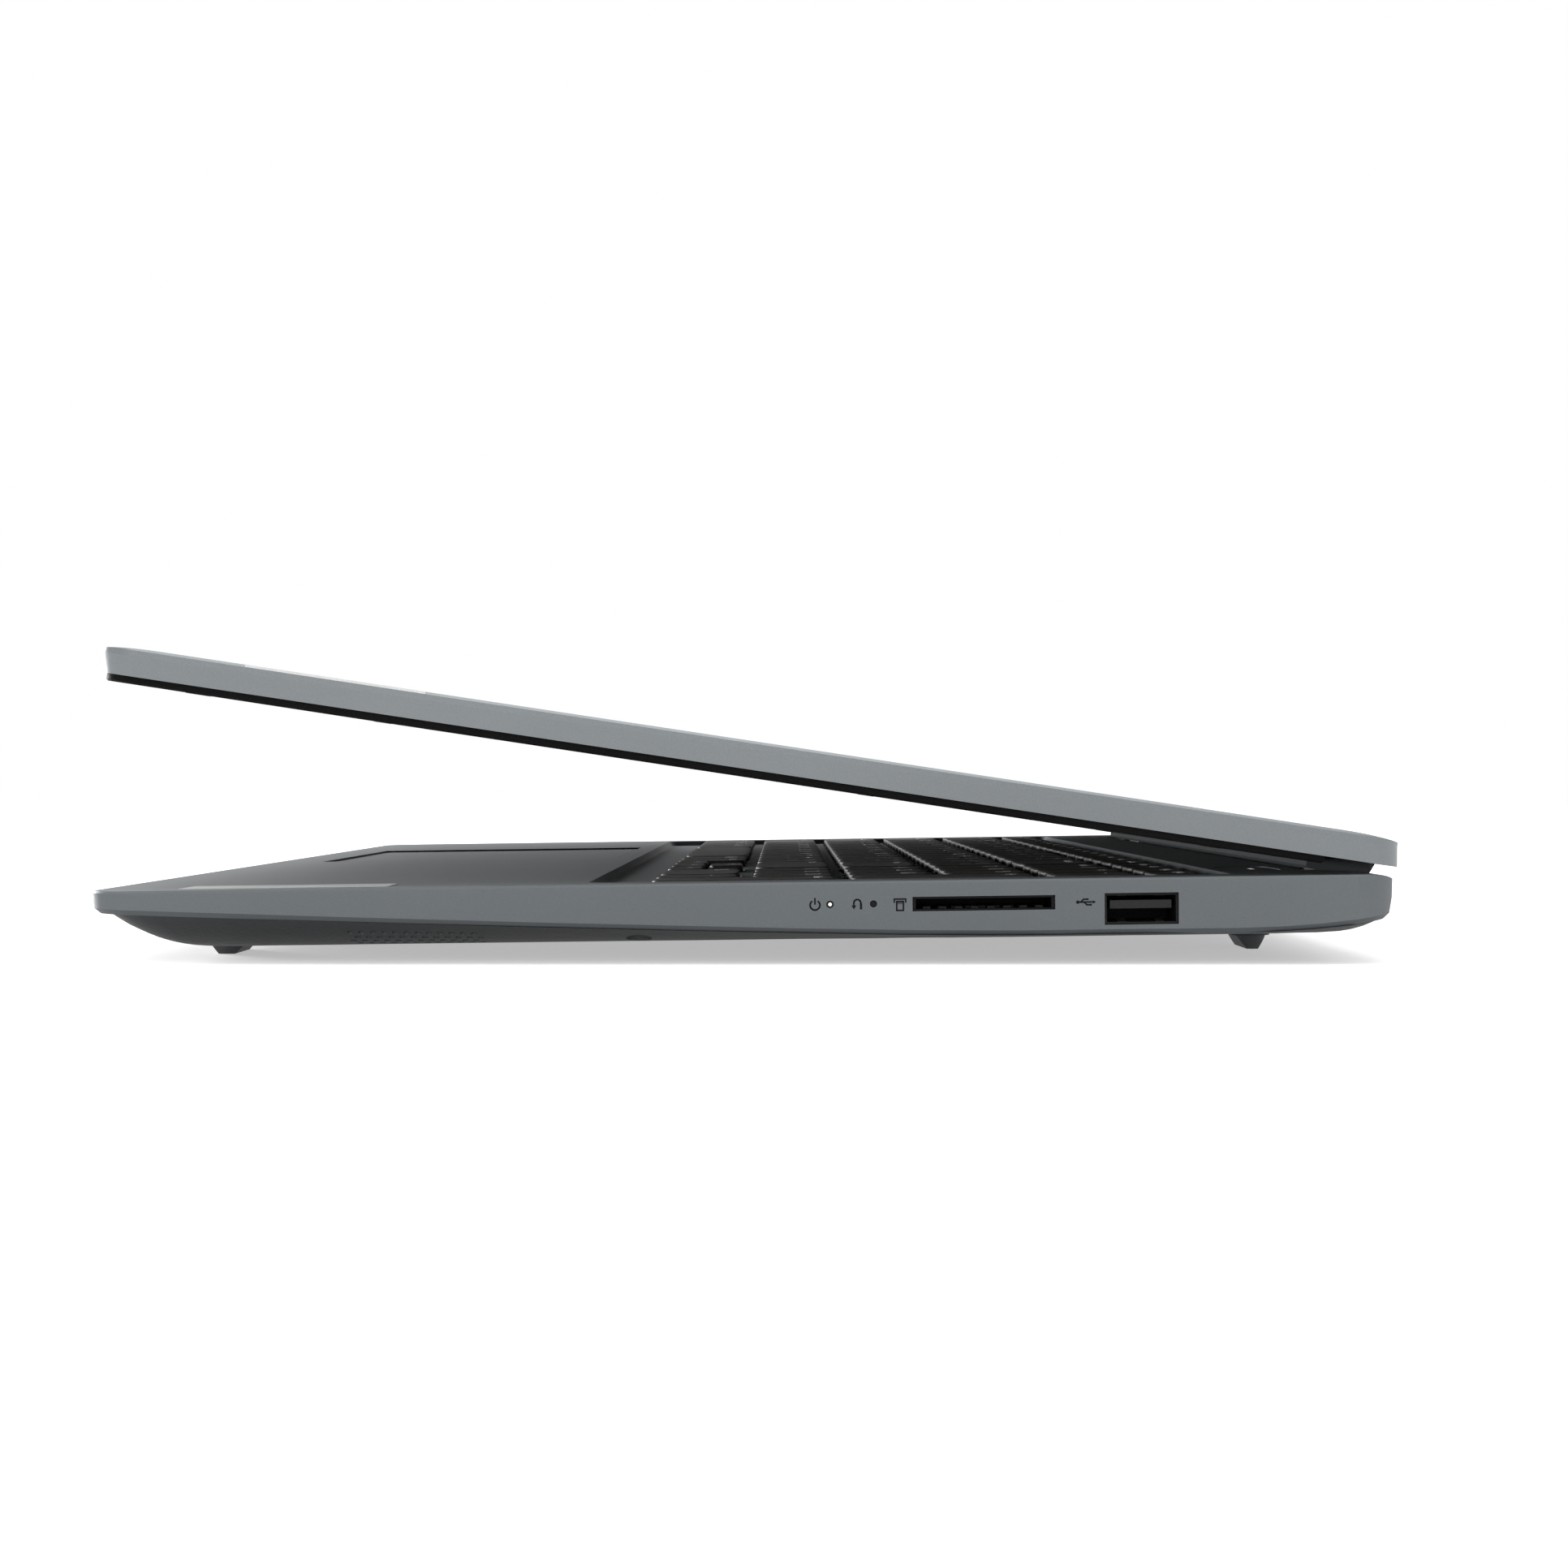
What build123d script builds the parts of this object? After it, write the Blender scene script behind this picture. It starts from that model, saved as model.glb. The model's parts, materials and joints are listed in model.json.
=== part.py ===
from build123d import *
import os
from math import sqrt

# A 15.6 inch clamshell laptop computer, standing open a crack on a table.
# Everything is drawn in the deck frame: X to the user's right, Y back from the
# front edge of the base, Z up from the flat deck around the keyboard.
# seat() stands the deck frame on the table and raise_lid() opens the lid.

# ------------------------------------------------------------------ driving sizes, mm
WIDTH = 360.2
DEPTH = 236.8
CORNER = 8.0                 # plan radius of the base and lid corners
SHELL = 10.9                 # deck down to the flat underside
DECK_TILT = 0.7734           # degrees that the rear feet raise the deck
DECK_FRONT_HEIGHT = 13.05    # deck over the table at the front edge
STANCE_MIDDLE = 118.6        # deck-frame Y that stands over the origin

LID_FRONT, LID_REAR = -2.5, 236.0
RIM_PLANE = 1.65             # closed lid: underside of the painted rim over the deck
RIM_IN_SIDE, RIM_IN_FRONT, RIM_OUT_REAR = 0.78, 1.1, 0.55   # how the rim's lower edge stands to its upper one
LID_TOP = 6.8
BEZEL_FACE = 0.3             # closed lid: bezel face over the deck
LID_OPENING = 9.33           # degrees open as it stands

HINGE_Y, HINGE_Z = 233.2, -4.5
CHANNEL_HALF, CHANNEL_Y, CHANNEL_FLOOR = 164.5, 229.2, -9.0
BAR_FRONT, BAR_BOTTOM = 225.2, -1.06
BARREL_RADIUS, PIN_RADIUS = 3.0, 1.45

FACET = 0.9                  # slanted strip above the parting line
REAR_LEAN = 3.2              # how far the rear face draws in, top to bottom
DECK_WALL, SIDE_WALL, FLOOR_WALL = 1.6, 2.2, 1.4
WELL_FRONT, WELL_REAR, WELL_HALF, WELL_DEPTH = 89.9, 208.2, 168.6, 1.3
WELL_CEILING = -2.6
CAVITY_REAR = 227.2

KEY_UNIT, KEY_PITCH_Y, KEY_GAP = 18.62, 18.5, 2.9
KEYS_LEFT, KEYS_FRONT = -167.6, 101.2
FUNCTION_DEPTH = 9.2
PAD_LEFT, PAD_UNIT = 103.6, 16.0
KEY_TOP, KEY_BOTTOM, KEY_BOW, KEY_CORNER, KEY_CLEAR = 0.2, -2.0, 0.7, 1.3, 0.35

TOUCHPAD_X, TOUCHPAD_Y, TOUCHPAD_GAP, TOUCHPAD_RECESS = (-96.4, 5.6), (12.5, 84.5), 0.45, 0.45
POWER_SPOT, POWER_SIZE = (140.5, 215.7), (24.0, 10.0)
SCREW_SPOTS = [(s * x, y) for s in (-1, 1) for x, y in ((174, 99.5), (162, 18), (104, 20), (165, 214))]
SCREW_SPOTS += [(20, 210.5), (70, 93.5)]
FAN_SPOT, FAN_RADIUS = (-60.0, 184.0), 26.5

PORT_Z = -5.55
USB_Y, USB_OPENING = 190.0, (13.3, 5.7)
POWER_INLET_Y, LEFT_USB_Y, HDMI_Y, USB_C_Y = 208.0, 185.0, 160.0, 141.0
AUDIO_Y, AUDIO_Z = 124.0, -5.35
SOCKET_BACK = 166.6          # connectors end here, clear of the pressed keys
SD_Y, SD_Z, SD_OPENING = 161.7, -4.2, (25.6, 2.6)
LED_Y, RESET_Y, LAMP_Z = 134.1, 141.9, -4.05


# ------------------------------------------------------------------ drawing helpers
def block(x, y, z):
    """A box between two corners, given as (low, high) on each axis."""
    centre = Pos((x[0] + x[1]) / 2, (y[0] + y[1]) / 2, (z[0] + z[1]) / 2)
    return centre * Box(x[1] - x[0], y[1] - y[0], z[1] - z[0])


def slab(x, y, z, radius, taper=0.0):
    """A flat plate with rounded corners in plan; taper narrows it downwards."""
    face = Pos((x[0] + x[1]) / 2, (y[0] + y[1]) / 2, z[1]) * RectangleRounded(x[1] - x[0], y[1] - y[0], radius)
    return extrude(face, amount=z[0] - z[1], taper=taper)


def disc(spot, z, radius):
    """An upright cylinder."""
    return Pos(spot[0], spot[1], (z[0] + z[1]) / 2) * Cylinder(radius, z[1] - z[0])


def rod(x, y, z, radius):
    """A cylinder lying along X."""
    return Pos((x[0] + x[1]) / 2, y, z) * Rot(0, 90, 0) * Cylinder(radius, x[1] - x[0])


def side_profile(outline, x):
    """A closed outline in Y and Z carried along X."""
    return extrude(Plane.YZ.offset(x[0]) * make_face(outline), amount=x[1] - x[0])


def side_polygon(points, x):
    """A closed polygon in Y and Z carried along X."""
    return side_profile(Polyline(*points, close=True), x)


def both_sides(shape):
    """The right-hand shape and its mirror image on the left."""
    return [shape, mirror(shape, about=Plane.YZ)]


def seat(shape):
    """Stand a deck-frame shape on the table."""
    return Location((0, -STANCE_MIDDLE, DECK_FRONT_HEIGHT), (DECK_TILT, 0, 0)) * shape


def raise_lid(shape):
    """Swing a closed-lid shape open to where the lid stands."""
    return shape.rotate(Axis((0, HINGE_Y, HINGE_Z), (-1, 0, 0)), LID_OPENING)


# ------------------------------------------------------------------ the outer form of the base
def parting_depth(y):
    """How far under the deck the case meets the cover: shallow in front, deep behind."""
    front = 0.0104 * max(0.0, 165.0 - y) ** 1.25
    rear = 0.000077 * max(0.0, y - 205.0) ** 3
    return 10.1 - front - rear


def above_parting():
    """Everything higher than the line where case and cover meet."""
    stations = [-6 + 22 * i for i in range(12)]
    curve = Spline(*[(y, -parting_depth(y)) for y in stations])
    roof = Polyline(curve @ 1, (stations[-1], 20), (stations[0], 20), curve @ 0)
    return side_profile([curve, roof], (-WIDTH, WIDTH))


def base_block():
    """Outer faces of the base down to its underside, with the sides drawn in slightly."""
    plan = slab((-WIDTH / 2, WIDTH / 2), (0, DEPTH), (-SHELL - 1, 0), CORNER, taper=4)
    plan = chamfer(plan.faces().sort_by(Axis.Z)[-1].edges(), 0.4)
    lines = [
        Polyline((DEPTH, -1.3), (DEPTH - REAR_LEAN, -SHELL - 2), (5.2, -SHELL - 2), (0, -0.3), (0, 1), (231.7, 1),
                 (231.7, 0)),
        ThreePointArc((231.7, 0), (234.4, -0.35), (DEPTH, -1.3)),
    ]
    return plan & side_profile(lines, (-WIDTH, WIDTH))


def dish_height(x, y, middle):
    """Underside skin: flat in the middle, rolling up to the parting line at the edges."""
    across = max(0.0, (abs(x) - 166.0) / 13.0)
    forward = max(0.0, (23.0 - y) / 20.0, (y - 222.0) / 12.0)
    reach = (across ** 4 + forward ** 4) ** 0.25
    bow = 0.6
    roll = (1 - sqrt(1 - min(0.98, bow * reach) ** 2)) / (1 - sqrt(1 - bow ** 2))
    return middle + (-parting_depth(y) - middle) * roll


def dish(lift, inset):
    """Solid over the underside skin, raised by lift and drawn in by inset."""
    xs = [-183 + 366 * i / 60 for i in range(61)]
    ys = [-3 + 242 * j / 44 for j in range(45)]
    rows = [[Vector(x, y, dish_height(x, y, -SHELL - 0.05) + lift) for y in ys] for x in xs]
    skin = Face.make_surface_from_array_of_points(rows, tol=0.02)
    body = Solid.extrude(skin, Vector(0, 0, 30))
    half = WIDTH / 2 - 1.1 - inset
    return body & slab((-half, half), (3.0 + inset, DEPTH - 2.75 - inset), (lift - SHELL, 15), CORNER)


# ------------------------------------------------------------------ keyboard layout
def spread(left, unit, widths):
    """Left and right edges of keys laid side by side, widths in key units."""
    edges = []
    for width in widths:
        edges.append((left + KEY_GAP / 2, left + width * unit - KEY_GAP / 2))
        left += width * unit
    return edges


def row_depth(row):
    """Front and back edges of a key row; row 0 is nearest the user, row 5 the function row."""
    front = KEYS_FRONT + row * KEY_PITCH_Y
    return front, front + (FUNCTION_DEPTH if row == 5 else KEY_PITCH_Y - KEY_GAP)


def keyboard():
    """Every key group by name, each key as ((left, right), (front, back))."""
    unit = KEY_UNIT
    main = {
        "keys_bottom_row": (0, [1.25, 1, 1, 1.25], [1, 1]),
        "keys_lower_row": (1, [2.25] + [1] * 10 + [2.25], []),
        "keys_home_row": (2, [1.75] + [1] * 11, []),
        "keys_upper_row": (3, [1.5] + [1] * 13, []),
        "keys_number_row": (4, [1] * 13 + [1.5], []),
        "keys_function_row": (5, [14.5 / 16] * 16, []),
    }
    groups = {}
    for name, (row, widths, after_space) in main.items():
        keys = [(edge, row_depth(row)) for edge in spread(KEYS_LEFT, unit, widths)]
        keys += [(edge, row_depth(row)) for edge in spread(KEYS_LEFT + 9.5 * unit, unit, after_space)]
        groups[name] = keys
    front, back = row_depth(0)
    groups["space_bar"] = [(spread(KEYS_LEFT + 4.5 * unit, unit, [5])[0], (front, back))]
    groups["enter_key"] = [(spread(KEYS_LEFT + 12.75 * unit, unit, [1.75])[0], row_depth(2))]
    arrows = spread(KEYS_LEFT + 11.5 * unit, unit, [1, 1, 1])
    middle = (front + back) / 2
    halves = [(front, middle - 0.45), (middle + 0.45, back)]
    groups["arrow_keys"] = [(arrows[0], halves[0]), (arrows[1], halves[0]), (arrows[1], halves[1]),
                            (arrows[2], halves[0])]
    columns = spread(PAD_LEFT, PAD_UNIT, [1, 1, 1, 1])
    pad = [(columns[c], row_depth(r)) for r in (1, 2, 3) for c in (0, 1, 2)]
    pad += [(columns[c], row_depth(r)) for r in (4, 5) for c in (0, 1, 2, 3)]
    pad += [((columns[0][0], columns[1][1]), row_depth(0)), (columns[2], row_depth(0))]
    groups["numpad_keys"] = pad
    groups["numpad_enter"] = [(columns[3], (row_depth(0)[0], row_depth(1)[1]))]
    groups["numpad_plus"] = [(columns[3], (row_depth(2)[0], row_depth(3)[1]))]
    return groups


def key_outline(key, grow=0.0):
    """A key seen from above: square behind, its front edge bowed towards the user."""
    (left, right), (front, back) = key
    left, right, front, back = left - grow, right + grow, front - grow, back + grow
    bow = min(KEY_BOW, (back - front) / 12)
    sides = Polyline((left, front + bow, 0), (left, back, 0), (right, back, 0), (right, front + bow, 0))
    nose = ThreePointArc((right, front + bow, 0), ((left + right) / 2, front, 0), (left, front + bow, 0))
    face = make_face([sides, nose])
    return fillet(face.vertices(), KEY_CORNER + grow)


def key_cap(key):
    """One key: a straight-sided cap with its top edge broken all round."""
    cap = extrude(Pos(0, 0, KEY_BOTTOM) * key_outline(key), amount=KEY_TOP - KEY_BOTTOM)
    return chamfer(cap.faces().sort_by(Axis.Z)[-1].edges(), 0.3)


def key_openings():
    """The holes in the deck that the keys stand in."""
    keys = [key for group in keyboard().values() for key in group]
    return [extrude(Pos(0, 0, -3) * key_outline(key, KEY_CLEAR), amount=3) for key in keys]


# ------------------------------------------------------------------ base shells
def hinge_bar_bed(grow):
    """Plan of the hinge bar, wider behind than in front, as an upright solid."""
    corner = (148 + grow, BAR_FRONT - grow)
    tip = (161 + grow, 234.2)
    end = 245
    outline = Polyline((-tip[0], end), (-tip[0], tip[1]), (-corner[0], corner[1]), corner, tip, (tip[0], end),
                       close=True)
    return extrude(make_face(outline), amount=20)


def channel():
    """Open trough across the back of the base that the hinges turn in."""
    return block((-CHANNEL_HALF, CHANNEL_HALF), (CHANNEL_Y, DEPTH + 5), (CHANNEL_FLOOR, 5))


def right_ports():
    """Cut-outs in the right-hand side, drawn through the wall."""
    x = (WIDTH / 2 - 8, WIDTH / 2 + 2)
    usb = block(x, (USB_Y - USB_OPENING[0] / 2, USB_Y + USB_OPENING[0] / 2),
                (PORT_Z - USB_OPENING[1] / 2, PORT_Z + USB_OPENING[1] / 2))
    card = block(x, (SD_Y - SD_OPENING[0] / 2, SD_Y + SD_OPENING[0] / 2),
                 (SD_Z - SD_OPENING[1] / 2, SD_Z + SD_OPENING[1] / 2))
    return [usb, card, rod(x, LED_Y, LAMP_Z, 0.675), rod(x, RESET_Y, LAMP_Z, 0.64)]


def left_ports():
    """Cut-outs in the left-hand side, drawn through the wall."""
    x = (-WIDTH / 2 - 2, -WIDTH / 2 + 8)
    return [
        rod(x, POWER_INLET_Y, PORT_Z, 2.9),
        block(x, grown((LEFT_USB_Y, LEFT_USB_Y), 6.65), (PORT_Z - 2.85, PORT_Z + 2.85)),
        block(x, grown((HDMI_Y, HDMI_Y), 7.6), (PORT_Z - 2.4, PORT_Z + 2.5)),
        slab_side(x, USB_C_Y, PORT_Z, 9.2, 3.4, 1.65),
        rod(x, AUDIO_Y, AUDIO_Z, 2.75),
    ]


def slab_side(x, y, z, wide, tall, radius):
    """A rounded bar along X, wide in Y and tall in Z."""
    face = Plane.YZ.offset(x[0]) * Pos(y, z) * RectangleRounded(wide, tall, radius)
    return extrude(face, amount=x[1] - x[0])


def make_top_case():
    body = base_block() & above_parting()
    underside = [face for face in body.faces() if face.normal_at().Z < -0.9][0]
    body = chamfer(underside.outer_wire().edges(), FACET)
    half, wall = WIDTH / 2 - SIDE_WALL, SIDE_WALL + 1.6
    body -= slab((-half, half), (wall, CAVITY_REAR), (-14, WELL_CEILING), CORNER - SIDE_WALL)
    body -= slab((-half, half), (wall, WELL_FRONT - 3), (-14, -DECK_WALL), 3)
    body -= slab((-WELL_HALF, WELL_HALF), (WELL_FRONT, WELL_REAR), (-WELL_DEPTH, 0), 3, taper=40)
    body -= channel()
    body -= Pos(0, 0, BAR_BOTTOM - 0.45) * hinge_bar_bed(0.5)
    body -= key_openings() + right_ports() + left_ports()
    body -= block(grown(TOUCHPAD_X, TOUCHPAD_GAP), grown(TOUCHPAD_Y, TOUCHPAD_GAP), (-5, 2))
    body -= power_pill(0.3, (-5, 2))
    body -= both_sides(block((117, 121), (224, 231), (-8.2, -1.5)))
    body -= [block((x, x + 2.2), (224, 231), (-8.0, -4.4)) for x in spaced(-92, -34, 4.1)]
    body += [disc(spot, (screw_seat(spot) + 0.65, -1.5), 2.6) for spot in SCREW_SPOTS]
    return body - [disc(spot, (-10, -4.5), 1.0) for spot in SCREW_SPOTS]


def screw_seat(spot):
    """Height of the face a cover screw's head bears on, a little inside the skin."""
    x, y = spot
    highest = max(dish_height(x + dx, y + dy, -SHELL) for dx in (-2.4, 0, 2.4) for dy in (-2.4, 0, 2.4))
    return highest + 0.9


def grown(limits, by):
    """A (low, high) pair widened at both ends."""
    return limits[0] - by, limits[1] + by


def spaced(first, last, step):
    """Evenly stepped places from first to last."""
    return [first + step * i for i in range(int((last - first) / step) + 1)]


def speaker_holes():
    """Four staggered rows of sound holes in the underside, on the right slope and the left."""
    pitch = 2.03
    holes = []
    for row in range(4):
        for number in range(12):
            spot = (176.2 - row * pitch * 0.87, 47.5 + pitch * (number + 0.5 * (row % 2)))
            holes.append(disc(spot, (-SHELL - 2, -4), 0.6))
    return holes + [mirror(hole, about=Plane.YZ) for hole in holes]


def intake_slots():
    """Long thin air slots under the fan and along the middle of the underside."""
    slots = []
    for y in (168, 190):
        for x in spaced(-110, 108, 4.4):
            slots.append(slab((x, x + 2.0), (y, y + 17), (-SHELL - 2, -8), 0.98))
    return slots


def make_bottom_cover():
    outside, parting = dish(0, 0), above_parting()
    cover = (outside - parting) - dish(FLOOR_WALL, 1.6)
    cover -= block((-CHANNEL_HALF, CHANNEL_HALF), (231.0, DEPTH + 5), (-SHELL - 1, 0))
    cover -= channel()
    pads = [disc(spot, (-SHELL - 2, screw_seat(spot) + 0.6), 3.4) for spot in SCREW_SPOTS]
    cover += [pad & outside for pad in pads]
    cover -= speaker_holes()
    cover -= intake_slots()
    cover -= [disc(spot, (screw_seat(spot) + 0.6, 2), 3.0) for spot in SCREW_SPOTS]
    cover -= [disc(spot, (-13, screw_seat(spot)), 2.4) for spot in SCREW_SPOTS]
    cover -= [disc(spot, (-13, -5), 1.35) for spot in SCREW_SPOTS]
    return cover + both_sides(slab((120.4, 136), (214.0, 221.6), (-SHELL - 2.45, -SHELL + 0.5), 3.7))


def make_bottom_screws():
    screws = []
    for spot in SCREW_SPOTS:
        bearing = screw_seat(spot)
        cross = [slab((-a, a), (-b, b), (bearing - 1, bearing - 0.4), 0.2) for a, b in ((1.2, 0.3), (0.3, 1.2))]
        screw = disc((0, 0), (bearing - 0.75, bearing), 2.1) - cross + disc((0, 0), (bearing, -4.8), 0.98)
        screws.append(Pos(*spot) * screw)
    return Compound(screws)


# ------------------------------------------------------------------ feet
def foot_ridge(x, y, top, wide, tip):
    """A rubber ridge with a narrow sole, long enough to be trimmed at the table."""
    outline = [(y - wide / 2, top), (y + wide / 2, top), (y + tip / 2, top - 3.1), (y - tip / 2, top - 3.1)]
    ridge = side_polygon(outline, x)
    return ridge & slab(x, (y - wide / 2, y + wide / 2), (top - 6, top), wide / 2.01)


def trim_at_table(shape):
    """Cut a seated shape off flat at the table."""
    return shape & Pos(0, 0, 50) * Box(600, 600, 100)


def make_front_feet():
    return Compound(both_sides(foot_ridge((136, 150), 19.4, -SHELL, 7.9, 1.8)))


def make_rear_feet():
    return Compound(both_sides(foot_ridge((121.2, 135.2), 217.8, -SHELL - 2.45, 5.9, 1.6)))


# ------------------------------------------------------------------ controls on the base
def power_pill(grow, z):
    """The power button's rounded outline as an upright solid."""
    (x, y), (wide, deep) = POWER_SPOT, POWER_SIZE
    return slab(grown((x, x), wide / 2 + grow), grown((y, y), deep / 2 + grow), z, deep / 2 + grow - 0.01)


def make_touchpad():
    pad = slab(TOUCHPAD_X, TOUCHPAD_Y, (-1.45, -TOUCHPAD_RECESS), 1.5)
    return pad + slab((-92, 1), (17, 80), (-2.2, -1.45), 1.0)


def make_power_button():
    cap = power_pill(0, (-1.9, -0.05))
    return cap - slab((138.0, 143.0), (216.2, 217.2), (-0.5, 1), 0.45)


def make_power_lamp():
    return slab((138.1, 142.9), (216.3, 217.1), (-0.5, -0.08), 0.35)


def make_reset_button():
    return rod((174.6, 179.6), RESET_Y, LAMP_Z, 0.5) + rod((173.6, 174.6), RESET_Y, LAMP_Z, 1.2)


def make_status_lamp():
    return rod((176.4, 179.7), LED_Y, LAMP_Z, 0.66)


def make_palmrest_label():
    return slab((161.1, 174.1), (16, 54), (0, 0.08), 1.0)


# ------------------------------------------------------------------ inside the base
def clear_of_posts(shape):
    """Holes in a board or plate where the screw posts pass."""
    return shape - [disc(spot, (-12, 0), 3.3) for spot in SCREW_SPOTS]


def make_keyboard_plate():
    plate = slab((-WELL_HALF + 4, WELL_HALF - 4), (96, 206), (-4.6, -4.1), 2)
    return clear_of_posts(plate)


def make_mainboard():
    board = slab((-165, -98), (96, 213), (-7.2, -6.2), 2) + slab((-99, 60), (96, 150), (-7.2, -6.2), 2)
    board += block((8, 36), (112, 138), (-6.2, -5.4)) + block((-92, -60), (132, 146), (-6.2, -5.3))
    board += [block((-150, -138), (y, y + 8), (-6.2, -5.0)) for y in spaced(110, 200, 14)]
    return clear_of_posts(board)


def make_battery_pack():
    pack = slab((-112, 112), (28, 86), (-9.3, -4.6), 2)
    return pack - [block((x, x + 1.2), (32, 86.5), (-5.4, -4)) for x in (-57, -0.6, 55.8)]


def make_fan_housing():
    shell = slab((-90, -30), (155, 216), (-9.3, -4.9), 5)
    shell -= disc(FAN_SPOT, (-8.7, -5.5), FAN_RADIUS)
    shell -= block((-85, -35), (190, 217), (-8.7, -5.5))
    shell -= disc(FAN_SPOT, (-6, -4), 17)
    shell -= disc(FAN_SPOT, (-10, -8), 17)
    spokes = [Pos(*FAN_SPOT) * Rot(0, 0, a) * block((0, 20), (-1.2, 1.2), (-9.3, -8.8)) for a in (20, 140, 260)]
    return shell + spokes + disc(FAN_SPOT, (-9.3, -8.8), 7) + disc(FAN_SPOT, (-8.8, -6.4), 1.0)


def make_fan_rotor():
    hub = disc((0, 0), (-8.4, -5.8), 8) - disc((0, 0), (-9, -6.2), 1.3)
    blades = []
    for number in range(23):
        blade = block((6.0, FAN_RADIUS - 1.2), (-0.35, 0.35), (-8.3, -5.9))
        blades.append(Rot(0, 0, 360 / 23 * number) * Pos(0, 2.5, 0) * Rot(0, 0, 8) * blade)
    return Pos(*FAN_SPOT) * (hub + blades)


def make_heat_sink():
    pipe = block((-20.5, 40), (139, 147), (-5.35, -4.75)) + block((-28.5, -20.5), (139, 226), (-5.35, -4.75))
    pipe += block((-94, -20.5), (218.2, 226), (-5.35, -4.75)) + block((8, 36), (116, 140), (-5.4, -4.75))
    fins = [block((x, x + 0.4), (218.4, 226), (-9.0, -5.3)) for x in spaced(-93, -31, 1.9)]
    return pipe + fins + block((-93.2, -31), (218.4, 226), (-9.0, -8.7))


def make_ssd_module():
    stick = slab((-92, -12), (98, 120), (-8.6, -7.8), 0.6)
    return stick + [block((x, x + 14), (101, 117), (-9.3, -8.6)) for x in (-86, -66, -46)]


def make_memory_module():
    stick = slab((-6, 61.6), (100, 130), (-8.6, -7.6), 0.6)
    return stick + [block((x, x + 11), (106, 120), (-9.3, -8.6)) for x in spaced(-2, 50, 16)]


def make_wifi_card():
    return slab((-128, -106), (100, 130), (-8.4, -7.6), 0.6) + block((-126, -108), (106, 124), (-9.3, -8.4))


def make_speaker():
    """The right-hand speaker: a sealed box with an open grille side towards the sound holes."""
    body = slab((146, 171.5), (45, 76), (-8.0, -2.6), 2)
    return body - disc((163, 60.5), (-9, -7.2), 6.5) + disc((163, 60.5), (-7.9, -7.2), 3)


def make_io_board():
    board = slab((146, 176.5), (128, 200), (-7.0, -6.0), 1.5)
    return board - block((165.8, 178), (USB_Y - 7.4, USB_Y + 7.4), (-8, -5))


def make_io_ribbon():
    """Flat flexible cable between the two boards, with a shallow hump in the middle."""
    top = Polyline((60, -6.6), (75, -6.6), (86, -8.6), (128, -8.6), (139, -6.6), (146, -6.6), (146, -6.9),
                   (138.9, -6.9), (127.9, -8.9), (86.1, -8.9), (75.1, -6.9), (60, -6.9), close=True)
    strip = extrude(Plane.XZ * make_face(top), amount=-10)
    return Pos(0, 134, 0) * strip


# ------------------------------------------------------------------ connectors
def usb_socket(side, y):
    """A USB type A socket: folded steel shell, and the tongue that carries the contacts."""
    x = ordered(side * SOCKET_BACK, side * 179.2)
    half, tall = USB_OPENING[0] / 2 - 0.1, USB_OPENING[1] / 2 - 0.1
    shell = block(x, (y - half, y + half), (PORT_Z - tall, PORT_Z + tall))
    hollow = block(ordered(side * (SOCKET_BACK + 0.8), side * 181), (y - half + 0.35, y + half - 0.35),
                   (PORT_Z - tall + 0.35, PORT_Z + tall - 0.35))
    tongue = block(ordered(side * (SOCKET_BACK + 0.4), side * 178.2), grown((y, y), 5.5),
                   (PORT_Z + 0.05, PORT_Z + 1.45))
    pads = [block(ordered(side * 169, side * 177.6), (y + n - 0.5, y + n + 0.5), (PORT_Z - 0.05, PORT_Z + 0.1))
            for n in (-3.5, -1.0, 1.0, 3.5)]
    return shell - hollow + tongue + pads


def ordered(a, b):
    """The two numbers, lower first."""
    return min(a, b), max(a, b)


def make_sd_card_slot():
    wide, tall = SD_OPENING[0] / 2 - 0.1, SD_OPENING[1] / 2 - 0.1
    shell = block((SOCKET_BACK, 179.0), (SD_Y - wide, SD_Y + wide), (SD_Z - tall, SD_Z + tall))
    shell -= block((SOCKET_BACK + 0.6, 181), grown((SD_Y, SD_Y), wide - 0.5), (SD_Z - tall + 0.2, SD_Z + tall - 0.3))
    teeth = [block((168, 176), grown((place, place), 0.6), (SD_Z - tall + 0.1, SD_Z - tall + 0.6))
             for place in spaced(SD_Y - 10, SD_Y + 10, 2.5)]
    return shell + teeth


def make_hdmi_port():
    y, z = HDMI_Y, PORT_Z
    outline = [(y - 7.4, z + 2.3), (y + 7.4, z + 2.3), (y + 7.4, z - 0.6), (y + 5.8, z - 2.2), (y - 5.8, z - 2.2),
               (y - 7.4, z - 0.6)]
    mouth = [(y - 7.05, z + 1.95), (y + 7.05, z + 1.95), (y + 7.05, z - 0.45), (y + 5.65, z - 1.85),
             (y - 5.65, z - 1.85), (y - 7.05, z - 0.45)]
    shell = side_polygon(outline, (-179.2, -168)) - side_polygon(mouth, (-181, -169))
    return shell + block((-178, -168.5), (y - 5.6, y + 5.6), (z - 0.1, z + 0.8))


def make_usb_c_port():
    shell = slab_side((-179.2, -171), USB_C_Y, PORT_Z, 9.0, 3.2, 1.58)
    shell -= slab_side((-181, -172), USB_C_Y, PORT_Z, 8.3, 2.5, 1.24)
    return shell + block((-178.2, -171.5), grown((USB_C_Y, USB_C_Y), 3.3), (PORT_Z - 0.35, PORT_Z + 0.35))


def make_audio_jack():
    back = -SOCKET_BACK
    return rod((-179.6, back), AUDIO_Y, AUDIO_Z, 2.65) - rod((-181, back - 1), AUDIO_Y, AUDIO_Z, 1.78)


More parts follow.
